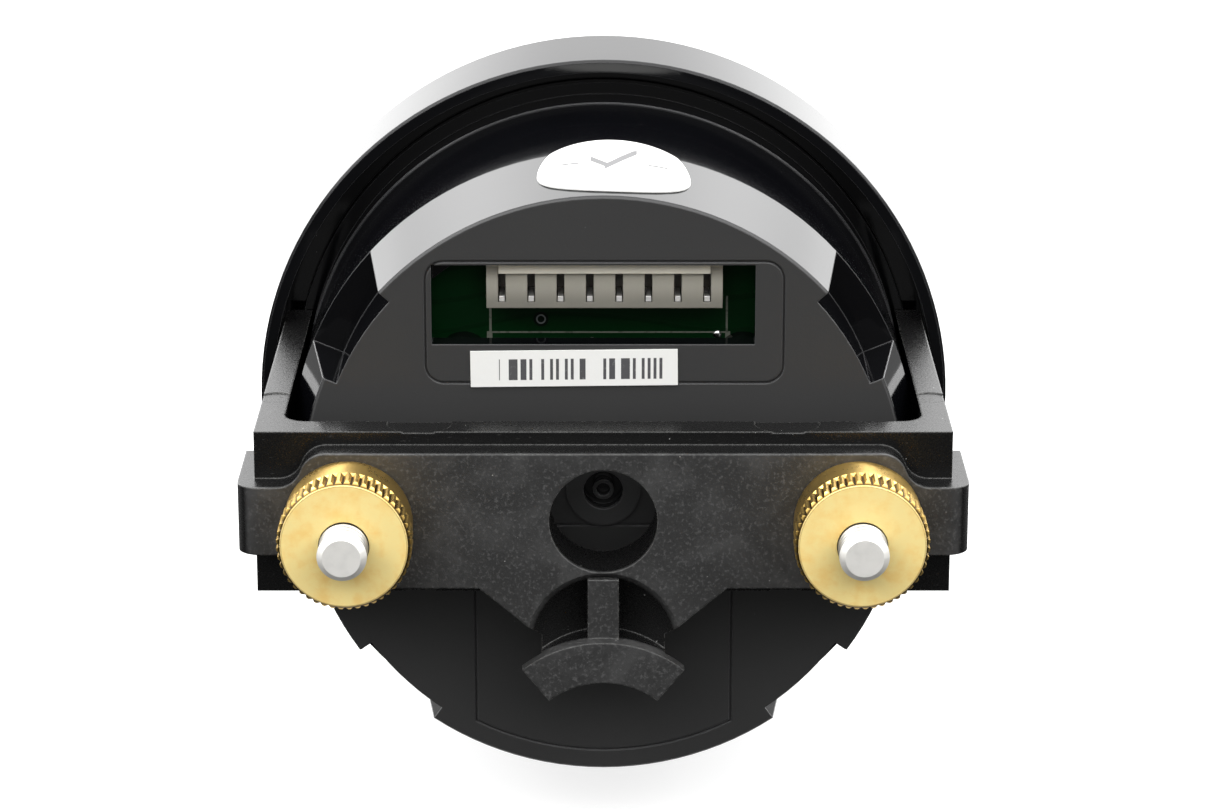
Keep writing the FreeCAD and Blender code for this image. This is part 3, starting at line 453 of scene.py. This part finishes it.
def plain_plastic_finish(name, base_colour, roughness, lump_mm=0.3, depth_mm=0.01, edge_mm=0.1):
    """Moulded plastic or rubber with a fine texture and slightly uneven colour."""
    finish = Finish(name)
    grain = finish.noise(lump_mm, 3.0, 0.6)
    cloud = finish.noise(4.0, 3.0, 0.5)
    pale = tuple(min(1.0, part * 1.35 + 0.004) for part in base_colour)
    base = finish.blend(cloud * 0.6, tuple(base_colour), pale)
    rough = roughness + 0.12 * (grain - 0.5) + 0.08 * (cloud - 0.5)
    normal = finish.bump(grain, depth_mm, 0.5, finish.rounded_edges(edge_mm))
    return finish.shade(Base_Color=base, Roughness=rough, Normal=normal)


def board_finish(settings):
    """Solder mask over copper tracks, with the printed outline of the header, and painted light on its upper
    corners.
    """
    finish = Finish("board_green")
    x, y, z = finish.millimetres()
    rear = finish.fade(y, BOARD_REAR / MM + 0.02, BOARD_REAR / MM + 0.06, 1.0, 0.0)
    cloud = finish.noise(3.0, 3.0, 0.5)
    weave = finish.noise(0.35, 2.0, 0.5)
    bend = (z / 2.4 + finish.noise(14.0, 0.0) * 2.0) % 1.0
    track = finish.fade(abs(bend - 0.5), 0.06, 0.1, 1.0, 0.0)
    green = tuple(settings.board_colour)
    paler_green_and_painted_light = tuple(2.4 * part for part in green)
    # Upper left and right corners painted lighter: painted light; the cloud mottle is real tone.
    corner = finish.fade(z, 13.0, 18.5) * finish.fade(abs(x), 9.0, 11.5)
    base = finish.blend(0.35 * cloud + corner, green, paler_green_and_painted_light)
    base = finish.blend(track * 0.35, base, tuple(0.55 * part for part in green))
    outline = finish.between(z, 11.86, 12.0) * finish.between(x, -9.3, 10.15)
    for left, right, foot, top in BOARD_STROKES:
        outline = outline.either(finish.between(x, left, right) * finish.between(z, foot, top))
    worn = finish.fade(weave, 0.25, 0.5, 0.55, 1.0)
    base = finish.blend(outline * rear * worn, base, tuple(settings.ink_colour))
    via_x, via_z = x - VIA_PLACE[0], z - VIA_PLACE[1]
    via = (via_x * via_x + via_z * via_z).root()
    pad = (via < 0.62) * rear
    ring = finish.between(via, 0.28, 0.4, 0.03) * rear
    base = finish.blend(pad * 0.85, base, (0.002, 0.004, 0.003))
    base = finish.blend(ring * 0.8, base, (0.2, 0.22, 0.22))
    height = 0.5 * ring + 0.4 * track + 0.1 * weave
    normal = finish.bump(height, 0.03, 0.6, finish.rounded_edges(0.06))
    rough = 0.3 + 0.1 * cloud + 0.3 * outline * rear
    return finish.shade(Base_Color=base, Roughness=rough, Normal=normal, Specular_IOR_Level=0.08)


def header_finish(settings):
    """Natural nylon: a pale lip, and a face painted darker as painted shade, darkest towards its foot and deeper
    into its slots.
    """
    finish = Finish("header_ivory")
    y, z = finish.millimetres()[1:]
    low, high = (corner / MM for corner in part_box("header_body"))
    cloud = finish.noise(2.0, 3.0, 0.5)
    grain = finish.noise(0.25, 2.0, 0.5)
    ivory = tuple(settings.header_colour)
    # The first two darkened copies of the ivory are painted shade on the face, darkest at its foot; the third is
    # random mottle.
    painted_shade_foot, grey, worn = (tuple(amount * part for part in ivory) for amount in (0.16, 0.4, 0.3))
    lip = finish.fade(y, low.y + 0.1, low.y + 0.3, 1.0, 0.0)
    lip = lip.either(finish.fade(z, high.z - 0.3, high.z - 0.05))
    face = finish.blend(finish.fade(z, low.z + 0.2, high.z - 1.2), painted_shade_foot, grey)
    base = finish.blend(lip, face, ivory)
    base = finish.blend(cloud * 0.3, base, worn)
    # Darker deeper into the header, in its slots: painted shade.
    base = finish.blend(finish.fade(y, low.y + 0.6, low.y + 2.0) * 0.8, base, (0.05, 0.035, 0.02))
    rough = 0.42 + 0.15 * (grain - 0.5)
    normal = finish.bump(grain, 0.008, 0.4, finish.rounded_edges(0.12))
    return finish.shade(Base_Color=base, Roughness=rough, Normal=normal)


def label_finish(settings):
    """White paper label, stuck on a little askew, with a row of plain printed bars."""
    finish = Finish("label_paper")
    x, _, z = finish.millimetres()
    centre = middle_of("serial_label")
    slope = math.tan(math.radians(0.6))
    level = z - centre.z - (x - centre.x) * slope
    fibre = finish.noise(0.35, 4.0, 0.65)
    paper = finish.blend(fibre * 0.3, tuple(settings.label_colour), (0.66, 0.66, 0.64))
    bars = finish.node("ShaderNodeTexWhiteNoise", {"noise_dimensions": "1D"}, {
        "W": (x * 4.2).rounded_down()}, "Value")
    inside = finish.between(level, -0.95, 0.8) * finish.between(x, -8.4, 4.9)
    ink = (bars > 0.56) * inside * finish.fade(fibre, 0.2, 0.45, 0.75, 0.95)
    base = finish.blend(ink, paper, tuple(settings.print_colour))
    normal = finish.bump(fibre, 0.01, 0.35)
    return finish.shade(Base_Color=base, Roughness=0.62 + 0.2 * (fibre - 0.5), Normal=normal)


def sticker_finish(settings):
    """White oval sticker with a printed tick and two short rules."""
    finish = Finish("sticker_paper")
    x, y = finish.millimetres()[:2]
    centre = middle_of("inspection_sticker")
    across, along = x - centre.x, y - centre.y
    fibre = finish.noise(0.4, 4.0, 0.6)
    paper = finish.blend(fibre * 0.25, tuple(settings.label_colour), (0.68, 0.68, 0.66))
    falling = abs(along + across + 1.35)
    short = (falling < 0.5) * finish.between(across, -1.9, -0.55)
    rising = abs(along - across * 1.25 + 0.2)
    long = (rising < 0.55) * finish.between(across, -0.75, 1.9)
    rules = finish.between(along, -0.42, -0.1) * (abs(across) > 2.8) * (abs(across) < 4.4)
    ink = short.either(long).either(rules)
    base = finish.blend(ink * 0.9, paper, tuple(settings.print_colour))
    normal = finish.bump(fibre, 0.008, 0.3)
    return finish.shade(Base_Color=base, Roughness=0.4 + 0.15 * fibre, Normal=normal)


def dial_finish(settings):
    """Screen-printed matt dial with a fine ring inside the light bars."""
    finish = Finish("dial_print")
    x, _, z = finish.millimetres()
    radius = (x * x + z * z).root()
    grain = finish.noise(0.06, 1.0, 0.5)
    cloud = finish.noise(6.0, 3.0, 0.5)
    base = finish.blend(cloud * 0.5, tuple(settings.dial_colour), (0.022, 0.022, 0.024))
    base = finish.blend(finish.between(radius, 18.6, 18.75) * 0.5, base, (0.5, 0.5, 0.5))
    normal = finish.bump(grain, 0.001, 0.1)
    return finish.shade(Base_Color=base, Roughness=0.55 + 0.1 * (cloud - 0.5), Normal=normal)


def lens_finish():
    """Clear polycarbonate with a light smoke tint."""
    finish = Finish("lens_clear")
    haze = finish.noise(12.0, 2.0, 0.5)
    tint = finish.blend(haze, (0.80, 0.81, 0.83), (0.74, 0.75, 0.78))
    return finish.shade(
        Base_Color=tint, Roughness=0.01 + 0.02 * haze, Transmission_Weight=1.0, IOR=1.5,
    )


# ---- New pieces ------------------------------------------------------------------------------

TICKS_A_NUMBER = 5
DIGIT_PITCH = 8.4 * MM
DIGIT_SLANT = 0.14


def keep_piece(name, shape, body, material):
    """Makes an object at the origin from a bmesh whose place is in its points."""
    mesh = bpy.data.meshes.new(name)
    bmesh.ops.recalc_face_normals(shape, faces=shape.faces[:])
    shape.to_mesh(mesh)
    shape.free()
    piece = bpy.data.objects.new(name, mesh)
    bpy.context.scene.collection.objects.link(piece)
    mesh.materials.append(material)
    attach(piece, body)
    return piece


def front_plane(y):
    """Takes a flat drawing in X and Y to a plane that faces the front."""
    turn = Matrix(((-1, 0, 0, 0), (0, 0, 1, 0), (0, 1, 0, 0), (0, 0, 0, 1)))
    return Matrix.Translation((0, y, 0)) @ turn


def drawn_text(text, size, depth):
    """Bmesh of a word, centred on the origin in X and Y."""
    curve = bpy.data.curves.new("number", "FONT")
    curve.body = text
    curve.size = size
    curve.align_x = "CENTER"
    curve.align_y = "CENTER"
    curve.extrude = depth / 2
    curve.resolution_u = 3
    writing = bpy.data.objects.new("number", curve)
    bpy.context.scene.collection.objects.link(writing)
    bpy.context.view_layer.update()
    mesh = bpy.data.meshes.new_from_object(writing.evaluated_get(bpy.context.evaluated_depsgraph_get()))
    shape = bmesh.new()
    shape.from_mesh(mesh)
    bmesh.ops.remove_doubles(shape, verts=shape.verts[:], dist=1e-7)
    bmesh.ops.translate(shape, vec=(0, 0, depth / 2), verts=shape.verts[:])
    bpy.data.objects.remove(writing)
    bpy.data.curves.remove(curve)
    bpy.data.meshes.remove(mesh)
    return shape


def add_to(whole, part, matrix):
    """Moves a part by a matrix and adds it to a larger bmesh."""
    bmesh.ops.transform(part, matrix=matrix, verts=part.verts[:])
    mesh = bpy.data.meshes.new("part")
    part.to_mesh(mesh)
    part.free()
    whole.from_mesh(mesh)
    bpy.data.meshes.remove(mesh)


# ---- Steps -----------------------------------------------------------------------------------


class GAUGE_OT_body(bpy.types.Operator):
    """Gives the housing and the bezel their gloss moulded finish"""

    bl_idname = "gauge.body"
    bl_label = "Body and Bezel"
    bl_options = {"REGISTER", "UNDO"}

    def execute(self, context):
        settings = context.scene.gauge_finish
        dress(("housing", "bezel_ring"), gloss_body_finish(settings))
        return {"FINISHED"}


class GAUGE_OT_bracket(bpy.types.Operator):
    """Gives the clamp bracket its glass-filled finish"""

    bl_idname = "gauge.bracket"
    bl_label = "Clamp Bracket"
    bl_options = {"REGISTER", "UNDO"}

    def execute(self, context):
        settings = context.scene.gauge_finish
        dress(("clamp_bracket",), bracket_finish(settings))
        return {"FINISHED"}


class GAUGE_OT_brass(bpy.types.Operator):
    """Gives the thumb nuts, the inserts and the spacers their brass"""

    bl_idname = "gauge.brass"
    bl_label = "Brass Pieces"
    bl_options = {"REGISTER", "UNDO"}

    def execute(self, context):
        settings = context.scene.gauge_finish
        for side in ("left", "right"):
            centre_x = middle_of(f"thumb_nut_{side}").x
            dress((f"thumb_nut_{side}",), brass_nut_finish(f"brass_nut_{side}", centre_x, settings))
        dull = tuple(0.88 * part for part in settings.brass_colour)
        dress(("stud_inserts",), metal_finish("insert_brass", dull, 0.32))
        dress(("board_spacers",), metal_finish("spacer_brass", settings.brass_colour, 0.26))
        return {"FINISHED"}


class GAUGE_OT_steel(bpy.types.Operator):
    """Gives the studs, the screws and the pins their plating"""

    bl_idname = "gauge.steel"
    bl_label = "Studs, Screws and Pins"
    bl_options = {"REGISTER", "UNDO"}

    def execute(self, context):
        settings = context.scene.gauge_finish
        dress(("mounting_studs",), stud_finish(settings))
        dress(("board_screws",), metal_finish("screw_zinc", settings.steel_colour, 0.4))
        dress(("display_pins", "header_pins"), metal_finish("pin_metal", settings.tin_colour, 0.55, 0.2))
        return {"FINISHED"}


class GAUGE_OT_boards(bpy.types.Operator):
    """Gives the circuit boards their solder mask and printing"""

    bl_idname = "gauge.boards"
    bl_label = "Circuit Boards"
    bl_options = {"REGISTER", "UNDO"}

    def execute(self, context):
        settings = context.scene.gauge_finish
        dress(("main_board", "display_board"), board_finish(settings))
        return {"FINISHED"}


class GAUGE_OT_header(bpy.types.Operator):
    """Gives the header its natural nylon"""

    bl_idname = "gauge.header"
    bl_label = "Header"
    bl_options = {"REGISTER", "UNDO"}

    def execute(self, context):
        settings = context.scene.gauge_finish
        dress(("header_body",), header_finish(settings))
        return {"FINISHED"}


class GAUGE_OT_components(bpy.types.Operator):
    """Gives the parts on the boards their finishes"""

    bl_idname = "gauge.components"
    bl_label = "Board Components"
    bl_options = {"REGISTER", "UNDO"}

    def execute(self, context):
        chips = ("display_driver", "board_link_socket", "board_link_plug", "microcontroller",
                 "regulator", "surge_diode")
        dress(chips, plain_plastic_finish("chip_black", (0.022, 0.022, 0.024), 0.5, 0.15))
        dress(("capacitor",), metal_finish("can_aluminium", (0.74, 0.75, 0.77), 0.3))
        dress(("inductor",), plain_plastic_finish("ferrite_grey", (0.07, 0.07, 0.074), 0.6, 0.2))
        return {"FINISHED"}


class GAUGE_OT_labels(bpy.types.Operator):
    """Gives the label and the oval sticker their paper and printing"""

    bl_idname = "gauge.labels"
    bl_label = "Label and Sticker"
    bl_options = {"REGISTER", "UNDO"}

    def execute(self, context):
        settings = context.scene.gauge_finish
        dress(("serial_label",), label_finish(settings))
        dress(("inspection_sticker",), sticker_finish(settings))
        return {"FINISHED"}


class GAUGE_OT_front(bpy.types.Operator):
    """Gives the lens, the dial and the pieces behind them their finishes"""

    bl_idname = "gauge.front"
    bl_label = "Lens and Dial"
    bl_options = {"REGISTER", "UNDO"}

    def execute(self, context):
        settings = context.scene.gauge_finish
        dress(("lens",), lens_finish())
        dress(("lens_gasket",), plain_plastic_finish("gasket_rubber", (0.014, 0.014, 0.014), 0.8))
        matte = plain_plastic_finish("matte_black", (0.013, 0.013, 0.014), 0.55, 0.14)
        dress(("dial_spacer_ring", "display_frame"), matte)
        dress(("faceplate",), dial_finish(settings))
        milky = plain_plastic_finish("diffuser_white", settings.guide_colour, 0.35, 0.5, 0.004)
        dress(("light_guide",), milky)
        lamp = plain_plastic_finish("led_white", (0.8, 0.74, 0.42), 0.3, 0.3)
        dress(("indicator_leds",), lamp)
        dark = plain_plastic_finish("display_face", (0.012, 0.01, 0.011), 0.22, 0.4, 0.003)
        dress(("display_module",), dark)
        return {"FINISHED"}


class GAUGE_OT_solder(bpy.types.Operator):
    """Adds the solder joints that show on the main board through the window"""

    bl_idname = "gauge.solder"
    bl_label = "Solder Joints"
    bl_options = {"REGISTER", "UNDO"}

    def execute(self, context):
        settings = context.scene.gauge_finish
        marks = context.scene.gauge_marks
        radius = marks.solder_radius
        joints = bmesh.new()
        for x, z, scale in SOLDER_PLACES:
            joint = bmesh.new()
            bmesh.ops.create_uvsphere(joint, u_segments=20, v_segments=10, radius=radius * scale)
            bmesh.ops.bisect_plane(
                joint, geom=joint.verts[:] + joint.edges[:] + joint.faces[:],
                plane_co=(0, 0, 0), plane_no=(0, 1, 0), clear_outer=True,
            )
            bmesh.ops.holes_fill(joint, edges=joint.edges[:])
            bmesh.ops.scale(joint, vec=(1, 0.55, 1), verts=joint.verts[:])
            add_to(joints, joint, Matrix.Translation((x * MM, BOARD_REAR + SOLDER_SINK, z * MM)))
        for face in joints.faces:
            face.smooth = True
        solder = metal_finish("solder", settings.tin_colour, 0.22, 0.3)
        keep_piece("solder_joints", joints, "gauge", solder)
        return {"FINISHED"}


class GAUGE_OT_dial_marks(bpy.types.Operator):
    """Adds the numbers and the ticks of the dial"""

    bl_idname = "gauge.dial_marks"
    bl_label = "Dial Numbers and Ticks"
    bl_options = {"REGISTER", "UNDO"}

    def execute(self, context):
        marks = context.scene.gauge_marks
        count = marks.number_last - marks.number_first
        if count < 1:
            raise ValueError("the last number has to be larger than the first")
        numbers = bmesh.new()
        ticks = bmesh.new()
        plane = front_plane(DIAL_FRONT)
        for index in range(count + 1):
            angle = marks.sweep * (index / count - 0.5)
            place = (marks.number_radius * math.sin(angle), marks.number_radius * math.cos(angle), 0)
            text = drawn_text(str(marks.number_first + index), marks.number_size, marks.print_height)
            add_to(numbers, text, plane @ Matrix.Translation(place))
        for index in range(TICKS_A_NUMBER * count + 1):
            angle = marks.sweep * (index / (TICKS_A_NUMBER * count) - 0.5)
            long = index % TICKS_A_NUMBER == 0
            reach = marks.tick_length * (1.0 if long else 0.55)
            width = (0.3 if long else 0.16) * MM
            tick = bmesh.new()
            bmesh.ops.create_cube(tick, size=1.0)
            bmesh.ops.scale(tick, vec=(width, reach, marks.print_height), verts=tick.verts[:])
            middle = (0, marks.tick_radius + reach / 2, marks.print_height / 2)
            turn = Matrix.Rotation(-angle, 4, "Z") @ Matrix.Translation(middle)
            add_to(ticks, tick, plane @ turn)
        ink = plain_plastic_finish("dial_ink", (0.72, 0.73, 0.72), 0.5, 0.15, 0.004, 0.005)
        keep_piece("dial_numbers", numbers, "gauge", ink)
        keep_piece("dial_ticks", ticks, "gauge", ink)
        return {"FINISHED"}


class GAUGE_OT_digits(bpy.types.Operator):
    """Adds the unlit seven-segment digits of the display"""

    bl_idname = "gauge.digits"
    bl_label = "Display Digits"
    bl_options = {"REGISTER", "UNDO"}

    def execute(self, context):
        marks = context.scene.gauge_marks
        width, height = marks.digit_width, marks.digit_height
        bar = marks.segment_width
        gap = 0.12 * MM
        flat = [(0, side * (height - bar) / 2, 0, width - bar) for side in (-1, 0, 1)]
        tall = [(side * (width - bar) / 2, end * (height - bar) / 4, 90, (height - bar) / 2)
                for side in (-1, 1) for end in (-1, 1)]
        slant = Matrix(((1, DIGIT_SLANT, 0, 0), (0, 1, 0, 0), (0, 0, 1, 0), (0, 0, 0, 1)))
        plane = front_plane(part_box("display_module")[1].y + PRINT_GAP)
        digits = bmesh.new()
        for centre in (-DIGIT_PITCH, 0.0, DIGIT_PITCH):
            for x, z, turned, reach in flat + tall:
                piece = bmesh.new()
                bmesh.ops.create_circle(piece, cap_ends=True, segments=6, radius=1.0)
                half = (reach - gap) / 2
                for vert in piece.verts:
                    tip = abs(vert.co.x) > 0.9
                    vert.co.x = math.copysign(half if tip else half - bar / 2, vert.co.x)
                    vert.co.y = 0.0 if tip else math.copysign(bar / 2, vert.co.y)
                grown = bmesh.ops.extrude_face_region(piece, geom=piece.faces[:])
                raised = [item for item in grown["geom"] if isinstance(item, bmesh.types.BMVert)]
                bmesh.ops.translate(piece, vec=(0, 0, marks.print_height), verts=raised)
                turn = Matrix.Rotation(math.radians(turned), 4, "Z")
                place = Matrix.Translation((x, z, 0)) @ turn
                add_to(digits, piece, plane @ Matrix.Translation((centre, 0, 0)) @ slant @ place)
            dot = bmesh.new()
            bmesh.ops.create_cone(
                dot, cap_ends=True, segments=20, radius1=bar * 0.55, radius2=bar * 0.55,
                depth=marks.print_height,
            )
            corner = (centre + width * 0.62, -height / 2 + bar / 2, marks.print_height / 2)
            add_to(digits, dot, plane @ Matrix.Translation(corner))
        milky = plain_plastic_finish("segment_milky", (0.11, 0.105, 0.1), 0.35, 0.3, 0.003, 0.005)
        keep_piece("display_digits", digits, "gauge", milky)
        return {"FINISHED"}


# ---- Stage -----------------------------------------------------------------------------------

PANEL_SIZE = 0.45
FLOOR_REACH = 3.0


class GAUGE_OT_stage(bpy.types.Operator):
    """Adds the floor, the soft lights and the camera"""

    bl_idname = "gauge.stage"
    bl_label = "Stage"
    bl_options = {"REGISTER", "UNDO"}

    def execute(self, context):
        stage = context.scene.gauge_stage
        self.add_floor(stage)
        self.light_world(context.scene)
        self.add_panel("panel_left", (-0.7, -0.5, 0.8), 6.0)
        self.add_panel("panel_right", (0.7, -0.5, 0.8), 4.5)
        self.add_camera(context.scene, stage)
        context.scene.view_settings.view_transform = "Standard"
        return {"FINISHED"}

    def add_floor(self, stage):
        shape = bmesh.new()
        bmesh.ops.create_grid(shape, x_segments=4, y_segments=4, size=FLOOR_REACH)
        bmesh.ops.translate(shape, vec=(0, 0, stage.floor_height), verts=shape.verts[:])
        mesh = bpy.data.meshes.new("floor")
        shape.to_mesh(mesh)
        shape.free()
        floor = bpy.data.objects.new("floor", mesh)
        bpy.context.scene.collection.objects.link(floor)
        finish = Finish("floor_pale")
        cloud = finish.noise(300.0, 2.0, 0.5)
        base = finish.blend(cloud, (0.3, 0.3, 0.3), (0.32, 0.32, 0.32))
        mesh.materials.append(finish.shade(
            Base_Color=base, Roughness=0.9, Specular_IOR_Level=0.0,
            Emission_Color=(1.0, 1.0, 1.0, 1.0), Emission_Strength=0.78,
        ))
        floor.visible_diffuse = False
        floor.visible_glossy = False
        floor.visible_shadow = False

    def light_world(self, scene):
        """Bright ahead of the gauge and above it, and dim low behind it, by direction alone."""
        world = bpy.data.worlds.new("studio")
        scene.world = world
        world.use_nodes = True
        light = Shading(world.node_tree)
        x, y, z = light.parts(light.node("ShaderNodeTexCoord", output="Generated"))
        ahead = light.fade(y, 0.0, 0.75)
        sky = light.fade(z, 0.22, 0.55, 1.8, 4.8)
        sides = light.fade(abs(x), 0.05, 0.5, 0.0, 2.2)
        low_corners = light.fade(z, -0.12, -0.02, 1.0, 0.0) * light.fade(abs(x), 0.2, 0.34)
        front = (sky + sides) * (1.0 - 0.93 * low_corners)
        back = light.fade(z, -0.26, 0.3, 0.1, 0.75) + light.fade(z, 0.32, 0.48, 0.0, 3.0)
        strength = back + ahead * (front - back)
        background = light.node("ShaderNodeBackground", {}, {"Strength": strength})
        light.node("ShaderNodeOutputWorld", {}, {"Surface": background})

    def add_panel(self, name, place, radiance):
        """Soft square light that faces the gauge, of a given brightness per area."""
        light = bpy.data.lights.new(name, "AREA")
        light.shape = "SQUARE"
        light.size = PANEL_SIZE
        light.energy = radiance * PANEL_SIZE ** 2 * math.pi
        panel = bpy.data.objects.new(name, light)
        panel.location = place
        panel.rotation_euler = Vector(place).to_track_quat("Z", "Y").to_euler()
        panel.visible_camera = False
        bpy.context.scene.collection.objects.link(panel)

    def add_camera(self, scene, stage):
        camera = bpy.data.cameras.new("camera")
        camera.lens = stage.camera_lens
        camera.sensor_width = 36.0
        camera.clip_start = 0.01
        holder = bpy.data.objects.new("camera", camera)
        holder.location = stage.camera_place
        holder.rotation_euler = (math.pi / 2 - stage.camera_pitch, 0, 0)
        scene.collection.objects.link(holder)
        scene.camera = holder


STEPS = (
    GAUGE_OT_body, GAUGE_OT_bracket, GAUGE_OT_brass, GAUGE_OT_steel, GAUGE_OT_boards,
    GAUGE_OT_header, GAUGE_OT_components, GAUGE_OT_labels, GAUGE_OT_front, GAUGE_OT_solder,
    GAUGE_OT_dial_marks, GAUGE_OT_digits, GAUGE_OT_stage,
)


class GAUGE_PT_panel(bpy.types.Panel):
    """Lists the steps that finish the gauge"""

    bl_idname = "GAUGE_PT_panel"
    bl_label = "Round Panel Gauge"
    bl_space_type = "VIEW_3D"
    bl_region_type = "UI"
    bl_category = "Gauge"

    def draw(self, context):
        for group in (context.scene.gauge_finish, context.scene.gauge_marks, context.scene.gauge_stage):
            box = self.layout.box()
            for name in group.__annotations__:
                box.prop(group, name)
        for step in STEPS:
            self.layout.operator(step.bl_idname)


SETTINGS = {
    "gauge_finish": GaugeFinishSettings,
    "gauge_marks": GaugeMarkSettings,
    "gauge_stage": GaugeStageSettings,
}


def register():
    for group in SETTINGS.values():
        bpy.utils.register_class(group)
    for name, group in SETTINGS.items():
        setattr(bpy.types.Scene, name, PointerProperty(type=group))
    for step in STEPS:
        bpy.utils.register_class(step)
    bpy.utils.register_class(GAUGE_PT_panel)


def unregister():
    bpy.utils.unregister_class(GAUGE_PT_panel)
    for step in reversed(STEPS):
        bpy.utils.unregister_class(step)
    for name, group in SETTINGS.items():
        delattr(bpy.types.Scene, name)
        bpy.utils.unregister_class(group)


def main():
    register()
    for step in STEPS:
        group, name = step.bl_idname.split(".")
        getattr(getattr(bpy.ops, group), name)()


if __name__ == "__main__":
    main()
